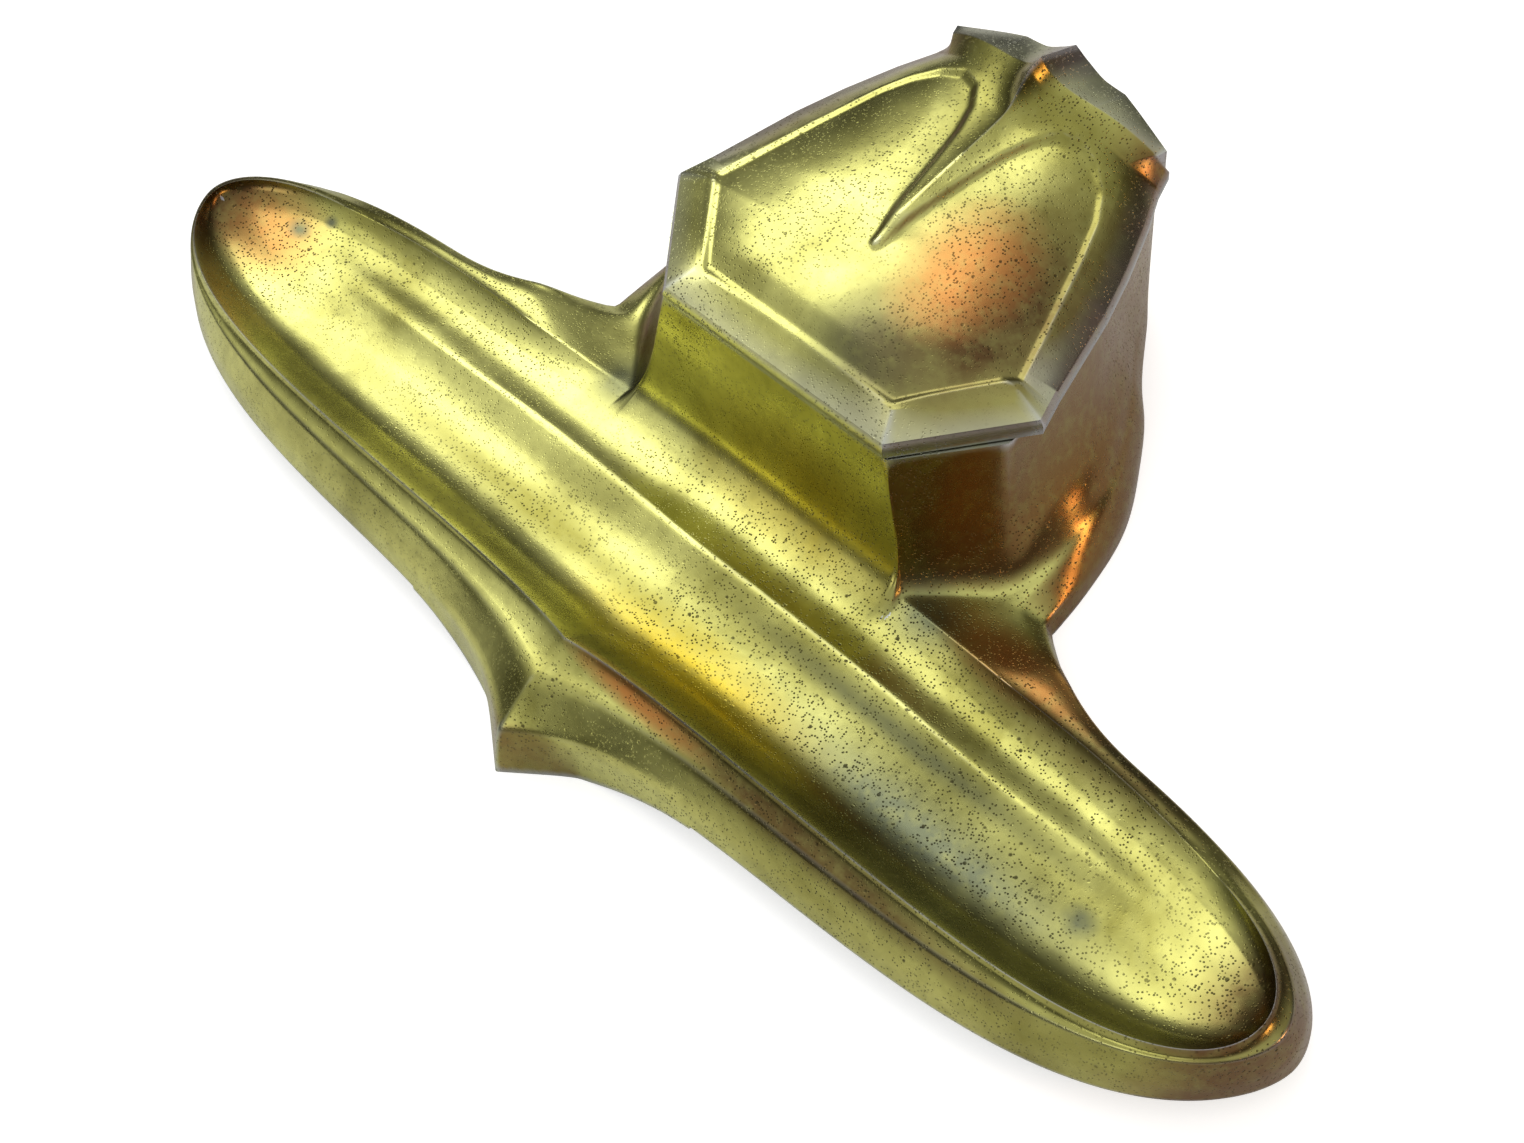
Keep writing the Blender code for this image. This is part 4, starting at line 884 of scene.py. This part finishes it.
def crease_edges(mesh):
    """Semi-sharp creases, tighter on sharper bends, hard round the flat caps and soft down the prow."""
    least, growing = BEND_SHARES
    work = bmesh.new()
    work.from_mesh(mesh)
    layer = work.edges.layers.float.get("crease_edge") or work.edges.layers.float.new("crease_edge")
    for edge in work.edges:
        angle = math.degrees(edge.calc_face_angle(0))
        if angle > LEAST_BEND:
            edge[layer] = min(1.0, BEND_TIGHTNESS * (least + growing * angle / 90))
        if len(edge.link_faces) == 2 and max(len(face.verts) for face in edge.link_faces) > CAP_CORNERS:
            edge[layer] = 1.0
        start, end = (vertex.co for vertex in edge.verts)
        if abs(start.x) + abs(end.x) < ON_MIDDLE and ((start + end) / 2).y < -RIM_FRONT / 2:
            edge[layer] = PROW_TIGHTNESS
    work.to_mesh(mesh)
    work.free()


def subdivide(made, levels):
    modifier = made.modifiers.new("rounding", "SUBSURF")
    modifier.levels = levels
    modifier.render_levels = levels
    evaluate(made)


def centred(made):
    for vertex in made.data.vertices:
        vertex.co.y -= MIDDLE_Y


def rivet_hole(x, z):
    """A rivet's hole right through the back walls."""
    reach = BODY_WALL + LEDGE_WIDTH + LEDGE_WIDTH
    return cylinder("hole", RIVET_RADIUS + PIN_CLEARANCE, (x, BACK_Y - reach, z), (x, BACK_Y + reach, z))


def body_casting():
    """Tray, prow, toe and box: the whole skin, rounded, then hollowed from below and from above."""
    made = new_object("body_casting", build_skin("body_casting"))
    crease_edges(made.data)
    subdivide(made, SUBDIVISIONS)
    below = HINGE_Z - BARREL_RADIUS - SEAT_GAP - LEAF_HEIGHT / 2
    holes = [rivet_hole(side * RIVET_SPACING / 2, below) for side in (-1, 1)]
    cut(made, [tray_hollow(), well_hollow(), *holes])
    return made


def lid_casting():
    """The lid's outer shape less a smaller one inside it."""
    made = new_object("lid_casting", lid_mesh("lid_casting", 0, 0, LID_BASE_Z))
    above = HINGE_Z + BARREL_RADIUS + SEAT_GAP + LID_LEAF_HEIGHT / 2
    hollow = lid_mesh("lid_hollow", LID_SIDE_WALL, LID_TOP_WALL, LID_BASE_Z - CUT_OVERRUN)
    cut(made, [hollow, rivet_hole(0, above)])
    return made


def finish_piece(made, node, body, material, angle):
    """Centres and shades a casting, gives it its metal, and puts it in its solid's place."""
    centred(made)
    made.data.shade_smooth()
    made.data.set_sharp_from_angle(angle=math.radians(angle))
    made.data.materials.clear()
    made.data.materials.append(material)
    for face in made.data.polygons:
        face.material_index = 0
    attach(made, body)
    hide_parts(node)


# Colours of the old brass, its stains and its dirt, its painted reflections and shade, then of the sheet
# brass and the glass.
LEMON = (0.64, 0.63, 0.20)
OLIVE = (0.19, 0.175, 0.035)
GOLD = (0.58, 0.43, 0.03)
SIDE_REFLECTION_BROWN = (0.17, 0.08, 0.03)
COPPER_TARNISH_AND_GLOW = (0.46, 0.19, 0.05)
UMBER = (0.095, 0.055, 0.022)
SLATE = (0.11, 0.12, 0.07)
WORN_EDGE_HIGHLIGHT_GREY = (0.52, 0.55, 0.60)
LID_FOOT_SHADE = (0.06, 0.05, 0.02)
PAINTED_HOLLOW_SHADE = (0.07, 0.06, 0.02)
PIT_DIRT = (0.05, 0.045, 0.02)
HINGE_BRASS = (0.50, 0.38, 0.14)
DECK_BRASS = (0.46, 0.38, 0.14)
CLEAR_GLASS = (0.88, 0.95, 0.91)
INKED_GLASS = (0.16, 0.19, 0.30)

# How rough the metals are.
CAST_ROUGHNESS = 0.27
HINGE_ROUGHNESS = 0.36
DECK_ROUGHNESS = 0.42

# How deep the patterns in the surfaces are.
HAMMER_DEPTH = 0.0006
GRAIN_DEPTH = 0.0002
PIT_DEPTH = 0.0002
STREAK_DEPTH = 0.0001
WAVE_DEPTH = 0.0003

# The painted shade along the lid's foot ends this softly; the body has none, so its band ends below the desk.
BAND_FADE = 0.0006
BODY_BAND_TOP = -0.0100

# The heights between which the ink stains in the pot fade out, and how much they wander.
INK_LOW = 0.0120
INK_HIGH = 0.0240
INK_WANDER = 0.0100

# Stains, the copper ones partly painted warm glows: colour, strength, middle and half sizes of each.
BODY_STAINS_AND_GLOWS = (
    (GOLD, 0.85, (0.020, -0.0480, 0.010), (0.040, 0.0100, 0.014)),
    (OLIVE, 0.85, (-0.030, -0.0420, 0.010), (0.070, 0.0050, 0.014)),
    (SLATE, 1.00, (0.068, -0.0438, 0.010), (0.050, 0.0105, 0.016)),
    (SLATE, 0.75, (0.055, -0.0324, 0.012), (0.044, 0.0030, 0.010)),
    (UMBER, 0.95, (-0.130, -0.0350, 0.014), (0.017, 0.0200, 0.016)),
    (COPPER_TARNISH_AND_GLOW, 0.75, (-0.119, -0.0330, 0.012), (0.013, 0.0130, 0.012)),
    (SLATE, 0.95, (-0.1165, -0.0285, 0.011), (0.0035, 0.0030, 0.006)),
    (SLATE, 0.95, (-0.1127, -0.0228, 0.011), (0.0020, 0.0018, 0.006)),
    (SLATE, 0.90, (0.0985, -0.0381, 0.011), (0.0040, 0.0035, 0.006)),
    (UMBER, 0.90, (0.060, -0.0600, 0.018), (0.066, 0.0045, 0.006)),
    (COPPER_TARNISH_AND_GLOW, 0.95, (0.018, -0.0600, 0.019), (0.020, 0.0030, 0.006)),
    (UMBER, 0.85, (0.082, -0.0120, 0.012), (0.050, 0.0080, 0.014)),
    (COPPER_TARNISH_AND_GLOW, 0.75, (0.062, -0.0080, 0.012), (0.024, 0.0080, 0.012)),
    (UMBER, 0.90, (0.128, -0.0300, 0.016), (0.012, 0.0260, 0.018)),
    (GOLD, 0.70, (0.010, -0.0120, 0.020), (0.034, 0.0100, 0.018)),
    (SLATE, 0.90, (0.041, -0.0110, 0.012), (0.010, 0.0090, 0.012)),
    (SLATE, 0.90, (-0.038, -0.0110, 0.012), (0.008, 0.0090, 0.014)),
)
# The copper patch on the lid's right lobe is a painted glow of a warm lamp's reflection.
LID_STAINS_AND_GLOWS = (
    (SLATE, 0.80, (0.014, 0.0070, 0.047), (0.017, 0.0160, 0.014)),
    (UMBER, 1.00, (0.026, 0.0250, 0.050), (0.028, 0.0380, 0.022)),
    (COPPER_TARNISH_AND_GLOW, 0.85, (0.0165, 0.0290, 0.052), (0.014, 0.0190, 0.014)),
    (OLIVE, 0.85, (0.010, 0.0640, 0.054), (0.026, 0.0090, 0.014)),
)

# Floor and room: the floor's colour and its glow to the camera, then the room's light from below to above.
FLOOR_COLOUR = (0.80, 0.80, 0.79)
FLOOR_ROUGHNESS = 0.9
FLOOR_GLOW = 0.55
FLOOR_HALF_SIZE = 6.0
ROOM_STRENGTH = 1.15
ROOM_LEVELS = ((0.0, 0.05), (0.20, 0.08), (0.50, 0.30), (0.80, 0.75), (1.0, 0.85))
WHITE = (1, 1, 1)

# Lamps: place, what they point at, width and height, watts and colour.
LAMPS = {
    "key": ((-0.9, 0.5, 1.5), (0, 0, 0), (1.3, 1.0), 9, WHITE),
    "fill": ((0.8, -1.4, 0.9), (0, 0, 0), (0.9, 0.7), 4, WHITE),
    "warm": ((1.3, 0.5, 0.45), (0, 0.03, 0.02), (0.35, 0.3), 4, (1.0, 0.55, 0.25)),
}

# Camera: azimuth, elevation and roll in degrees, its place before everything is centred in y, then the
# photograph's size, focal length and optical centre in pixels.
CAMERA_TURN = (54.52, 57.83, -11.87)
CAMERA_PLACE = (0.179785, -0.112212, 0.352905)
PHOTO_WIDTH = 1524
PHOTO_HEIGHT = 1143
FOCAL_PIXELS = 2200
CENTRE_PIXEL = (731.26, 545.14)
SENSOR_WIDTH = 36.0
CLIP_RANGE = (0.01, 50.0)


class Nodes:
    """Short calls for building the nodes of one material, or of the world."""

    def __init__(self, made, shader="Principled BSDF", output="Material Output"):
        made.use_nodes = True
        self.made = made
        self.tree = made.node_tree
        self.shader = self.tree.nodes[shader]
        self.output = self.tree.nodes[output]
        self.coordinates = self.new("ShaderNodeTexCoord").outputs
        self.place = self.coordinates["Object"]

    def put(self, node, inputs):
        """Links each input that is given another node's output, and sets the others; returns what is made."""
        for key, value in inputs.items():
            socket = node.inputs[key]
            if isinstance(value, bpy.types.NodeSocket):
                self.tree.links.new(value, socket)
            else:
                socket.default_value = (*value, 1) if socket.type == "RGBA" else value
        return self.made

    def new(self, kind, inputs=None, **settings):
        node = self.tree.nodes.new(kind)
        for key, value in settings.items():
            setattr(node, key, value)
        self.put(node, inputs or {})
        return node

    def noise(self, scale, detail=4.0, roughness=0.55, distortion=0.0, place=None):
        shape = {"Scale": scale, "Detail": detail, "Roughness": roughness, "Distortion": distortion}
        return self.new("ShaderNodeTexNoise", {"Vector": place or self.place, **shape}).outputs["Fac"]

    def ramp(self, value, *stops):
        """A curve of grey levels through stops, each a position and a level."""
        node = self.new("ShaderNodeValToRGB", {"Fac": value})
        elements = node.color_ramp.elements
        while len(elements) < len(stops):
            elements.new(0.5)
        for element, (position, level) in zip(elements, stops):
            element.position = position
            element.color = (level, level, level, 1)
        return node.outputs["Color"]

    def mix(self, share, first, second):
        inputs = {"Factor": share, "A": first, "B": second}
        return self.new("ShaderNodeMix", inputs, data_type="RGBA", blend_type="MIX").outputs["Result"]

    def maths(self, operation, *values, clamp=False):
        inputs = dict(enumerate(values))
        return self.new("ShaderNodeMath", inputs, operation=operation, use_clamp=clamp).outputs[0]

    def along(self, axis, vector):
        return self.new("ShaderNodeSeparateXYZ", {"Vector": vector}).outputs[axis]

    def fade(self, value, start, end, first, last):
        """The first level up to the start, the last from the end on, and an even run between them."""
        inputs = {"Value": value, "From Min": start, "From Max": end, "To Min": first, "To Max": last}
        return self.new("ShaderNodeMapRange", inputs, clamp=True).outputs["Result"]

    def spot(self, centre, size):
        """1 within an ellipsoid around a place, fading to 0 at its border."""
        inputs = {"Vector": self.place, "Location": centre, "Scale": size}
        mapped = self.new("ShaderNodeMapping", inputs, vector_type="TEXTURE").outputs["Vector"]
        length = self.new("ShaderNodeVectorMath", {0: mapped}, operation="LENGTH").outputs["Value"]
        return self.ramp(length, (0.25, 1.0), (1.0, 0.0))

    def bump(self, height, strength, distance, **below):
        inputs = {"Height": height, "Strength": strength, "Distance": distance, **below}
        return self.new("ShaderNodeBump", inputs).outputs["Normal"]


def darker(colour, share):
    return tuple(share * level for level in colour)


def tarnish_and_side_reflection(nodes):
    """Greenish yellow with olive clouds, and a painted brown reflection where the metal faces left or right.
    """
    clouds = nodes.noise(scale=24, detail=5, roughness=0.6, distortion=0.4)
    colour = nodes.mix(nodes.ramp(clouds, (0.40, 0.0), (0.66, 0.85)), LEMON, OLIVE)
    # Painted reflection: metal facing left or right turns brown, as if it reflected a warm dark room.
    facing = nodes.along("X", nodes.coordinates["Normal"])
    side_reflection = nodes.maths("SUBTRACT", nodes.maths("ABSOLUTE", facing, 0.0), 0.25)
    side_reflection = nodes.maths("MULTIPLY_ADD", nodes.noise(scale=60), 0.5, side_reflection)
    return nodes.mix(nodes.ramp(side_reflection, (0.38, 0.0), (0.70, 0.92)), colour, SIDE_REFLECTION_BROWN)


def stained_and_glowing(nodes, colour, stains):
    """Soft patches around the stains' places, stronger and weaker by turns; the copper ones are partly
    painted warm glows.
    """
    uneven = nodes.maths("MULTIPLY_ADD", nodes.noise(scale=110), 0.5, 0.75)
    for tint, strength, place, size in stains:
        patch = nodes.maths("MULTIPLY", nodes.spot(place, size), uneven, clamp=True)
        colour = nodes.mix(nodes.maths("MULTIPLY", patch, strength), colour, tint)
    return colour


def worn_sheen_and_hollow_shade(nodes, colour):
    """Grey on sharp edges, partly rubbed bare and partly a painted highlight; painted shade darkens the
    hollows.
    """
    bend = nodes.new("ShaderNodeNewGeometry").outputs["Pointiness"]
    # Painted highlight, partly wear: sharp convex edges turn bluish grey.
    edges = nodes.ramp(bend, (0.515, 0.0), (0.57, 1.0))
    colour = nodes.mix(nodes.maths("MULTIPLY", edges, 0.6), colour, WORN_EDGE_HIGHLIGHT_GREY)
    # Painted shade: concave places are darkened.
    hollows = nodes.ramp(bend, (0.42, 1.0), (0.48, 0.0))
    return nodes.mix(nodes.maths("MULTIPLY", hollows, 0.75), colour, PAINTED_HOLLOW_SHADE)


def pits(nodes, scale, smallest, largest, share):
    """Small dark pits: 1 in a pit, on a part of the cells of a fine pattern."""
    cells = nodes.new("ShaderNodeTexVoronoi", {"Vector": nodes.place, "Scale": scale}, feature="F1").outputs
    chosen = nodes.new("ShaderNodeSeparateColor", {"Color": cells["Color"]}).outputs["Red"]
    near = nodes.ramp(cells["Distance"], (smallest, 1.0), (largest, 0.0))
    return nodes.maths("MULTIPLY", near, nodes.ramp(chosen, (share, 1.0), (share + 0.01, 0.0)))


def pitted(nodes):
    """Small and large pits together, close in some regions and scarce in others."""
    small = pits(nodes, scale=1900, smallest=0.20, largest=0.38, share=0.45)
    large = pits(nodes, scale=620, smallest=0.10, largest=0.24, share=0.14)
    region = nodes.ramp(nodes.noise(scale=34, detail=3, roughness=0.5), (0.38, 0.12), (0.62, 1.0))
    return nodes.maths("MULTIPLY", nodes.maths("MAXIMUM", small, large), region, clamp=True)


def brass(name, stains, band_top):
    """Old polished brass: greenish yellow, tarnished and stained, with dark pits and painted reflections,
    highlights and shade.
    """
    nodes = Nodes(bpy.data.materials.new(name))
    colour = stained_and_glowing(nodes, tarnish_and_side_reflection(nodes), stains)
    # Painted shade: the lid's lowest band, where it sits on the box, is darkened.
    foot_shade = nodes.fade(nodes.along("Z", nodes.place), band_top, band_top + BAND_FADE, 0.8, 0.0)
    colour = nodes.mix(foot_shade, colour, LID_FOOT_SHADE)
    fine = nodes.noise(scale=420, detail=3, roughness=0.6)
    veil = nodes.maths("MULTIPLY", nodes.ramp(fine, (0.45, 0.0), (0.75, 1.0)), 0.35)
    colour = worn_sheen_and_hollow_shade(nodes, nodes.mix(veil, colour, darker(LEMON, 0.45)))
    speck = pitted(nodes)
    colour = nodes.mix(nodes.maths("MULTIPLY", speck, 0.8), colour, PIT_DIRT)
    polish = nodes.noise(scale=60, roughness=0.6)
    rough = nodes.maths("MULTIPLY_ADD", polish, 0.24, CAST_ROUGHNESS - 0.12)
    rough = nodes.maths("MULTIPLY_ADD", speck, 0.35, rough, clamp=True)
    hammer = nodes.bump(nodes.noise(scale=70, detail=3, roughness=0.5), 0.20, HAMMER_DEPTH)
    grain = nodes.bump(fine, 0.10, GRAIN_DEPTH, Normal=hammer)
    holes = nodes.bump(nodes.maths("SUBTRACT", 1.0, speck), 0.5, PIT_DEPTH, Normal=grain)
    looks = {"Base Color": colour, "Metallic": 1.0, "Roughness": rough, "Normal": holes}
    return nodes.put(nodes.shader, looks)


def plain_brass(name, colour, roughness):
    """Brass sheet and wire of the hinge and the deck, dull and streaked."""
    nodes = Nodes(bpy.data.materials.new(name))
    inputs = {"Vector": nodes.place, "Scale": (60, 900, 900)}
    stretched_place = nodes.new("ShaderNodeMapping", inputs, vector_type="POINT").outputs["Vector"]
    streaks = nodes.noise(scale=1, roughness=0.6, place=stretched_place)
    clouds = nodes.ramp(nodes.noise(scale=90), (0.35, 0.0), (0.7, 1.0))
    colour = nodes.mix(clouds, colour, darker(colour, 0.55))
    rough = nodes.maths("MULTIPLY_ADD", streaks, 0.3, roughness - 0.1, clamp=True)
    lines = nodes.bump(streaks, 0.15, STREAK_DEPTH)
    looks = {"Base Color": colour, "Metallic": 1.0, "Roughness": rough, "Normal": lines}
    return nodes.put(nodes.shader, looks)


def pot_glass():
    """Clear, faintly green glass with ink stains towards its floor."""
    nodes = Nodes(bpy.data.materials.new("pot_glass_detailed"))
    wander = nodes.noise(scale=120, detail=3)
    height = nodes.maths("MULTIPLY_ADD", wander, INK_WANDER, nodes.along("Z", nodes.place))
    inked = nodes.fade(height, INK_LOW, INK_HIGH, 1.0, 0.0)
    colour = nodes.mix(inked, CLEAR_GLASS, INKED_GLASS)
    rough = nodes.maths("MULTIPLY_ADD", nodes.noise(scale=200, detail=3), 0.08, 0.02)
    waves = nodes.bump(nodes.noise(scale=80, detail=2), 0.05, WAVE_DEPTH)
    looks = {"Base Color": colour, "Roughness": rough, "Normal": waves}
    return nodes.put(nodes.shader, {**looks, "Transmission Weight": 1.0, "IOR": 1.5})


def dress():
    """Puts the finished castings over their solids and gives every other node its material."""
    body_brass = brass("body_brass_worn_painted_light", BODY_STAINS_AND_GLOWS, BODY_BAND_TOP)
    lid_brass = brass("lid_brass_worn_painted_light", LID_STAINS_AND_GLOWS, LID_BASE_Z + LID_BAND - LID_BEVEL_RISE)
    finish_piece(body_casting(), "tray_body", "stand", body_brass, BODY_SHARP_ANGLE)
    finish_piece(lid_casting(), "lid", "lid", lid_brass, LID_SHARP_ANGLE)
    sheet_brass = plain_brass("hinge_brass_dull", HINGE_BRASS, HINGE_ROUGHNESS)
    deck_brass = plain_brass("deck_brass_dull", DECK_BRASS, DECK_ROUGHNESS)
    looks = {"well_deck": deck_brass, "ink_glass": pot_glass()}
    for name, node in frame["nodes"].items():
        if name not in ("tray_body", "lid"):
            node.material_slots[0].material = looks.get(name, sheet_brass)


def floor():
    """A plain white floor that takes the object's shadow and shows white to the camera and through glass."""
    nodes = Nodes(bpy.data.materials.new("floor_paper"))
    nodes.put(nodes.shader, {"Base Color": FLOOR_COLOUR, "Roughness": FLOOR_ROUGHNESS})
    path = nodes.new("ShaderNodeLightPath").outputs
    seen = nodes.maths("ADD", path["Is Camera Ray"], path["Is Transmission Ray"], clamp=True)
    strength = nodes.maths("MULTIPLY", seen, FLOOR_GLOW)
    glow = nodes.new("ShaderNodeEmission", {"Color": WHITE, "Strength": strength})
    both = nodes.new("ShaderNodeAddShader", {0: nodes.shader.outputs[0], 1: glow.outputs[0]})
    nodes.put(nodes.output, {"Surface": both.outputs[0]})
    mesh = bpy.data.meshes.new("floor")
    corners = [(x * FLOOR_HALF_SIZE, y * FLOOR_HALF_SIZE, 0) for x, y in ((-1, -1), (1, -1), (1, 1), (-1, 1))]
    mesh.from_pydata(corners, [], [(0, 1, 2, 3)])
    mesh.materials.append(nodes.made)
    new_object("floor", mesh)


def world():
    """White to the camera; for light and reflections a soft room, bright above and dim at the sides."""
    made = bpy.data.worlds.new("room")
    bpy.context.scene.world = made
    nodes = Nodes(made, "Background", "World Output")
    height = nodes.along("Z", nodes.coordinates["Generated"])
    nodes.put(nodes.shader, {"Color": nodes.ramp(height, *ROOM_LEVELS), "Strength": ROOM_STRENGTH})
    white = nodes.new("ShaderNodeBackground", {"Color": WHITE, "Strength": 1.0})
    camera_ray = nodes.new("ShaderNodeLightPath").outputs["Is Camera Ray"]
    inputs = {0: camera_ray, 1: nodes.shader.outputs[0], 2: white.outputs[0]}
    mixed = nodes.new("ShaderNodeMixShader", inputs)
    nodes.put(nodes.output, {"Surface": mixed.outputs[0]})


def softbox(name, place, target, size, watts, colour):
    light = bpy.data.lights.new(name, "AREA")
    light.shape = "RECTANGLE"
    light.size, light.size_y = size
    light.energy = watts
    light.color = colour
    made = new_object(name, light)
    made.location = place
    made.rotation_euler = (Vector(target) - Vector(place)).to_track_quat("-Z", "Y").to_euler()


def stage():
    bpy.context.scene.view_settings.view_transform = "Standard"
    floor()
    world()
    for name, lamp in LAMPS.items():
        softbox(name, *lamp)


def camera():
    """The photograph's viewpoint, worked out from the object's mirror symmetry."""
    azimuth, elevation, roll = (math.radians(angle) for angle in CAMERA_TURN)
    level = math.cos(elevation)
    back = Vector((math.sin(azimuth) * level, -math.cos(azimuth) * level, math.sin(elevation)))
    right = Vector((math.cos(azimuth), math.sin(azimuth), 0))
    up = back.cross(right)
    rolled = (math.cos(roll) * right + math.sin(roll) * up, math.cos(roll) * up - math.sin(roll) * right)
    lens = bpy.data.cameras.new("camera")
    lens.sensor_width = SENSOR_WIDTH
    lens.lens = SENSOR_WIDTH * FOCAL_PIXELS / PHOTO_WIDTH
    lens.shift_x = (PHOTO_WIDTH / 2 - CENTRE_PIXEL[0]) / PHOTO_WIDTH
    lens.shift_y = (CENTRE_PIXEL[1] - PHOTO_HEIGHT / 2) / PHOTO_WIDTH
    lens.clip_start, lens.clip_end = CLIP_RANGE
    x, y, z = CAMERA_PLACE
    turn = Matrix((*rolled, back)).transposed().to_4x4()
    made = new_object("camera", lens)
    made.matrix_world = Matrix.Translation((x, y - MIDDLE_Y, z)) @ turn
    bpy.context.scene.camera = made


dress()
stage()
camera()
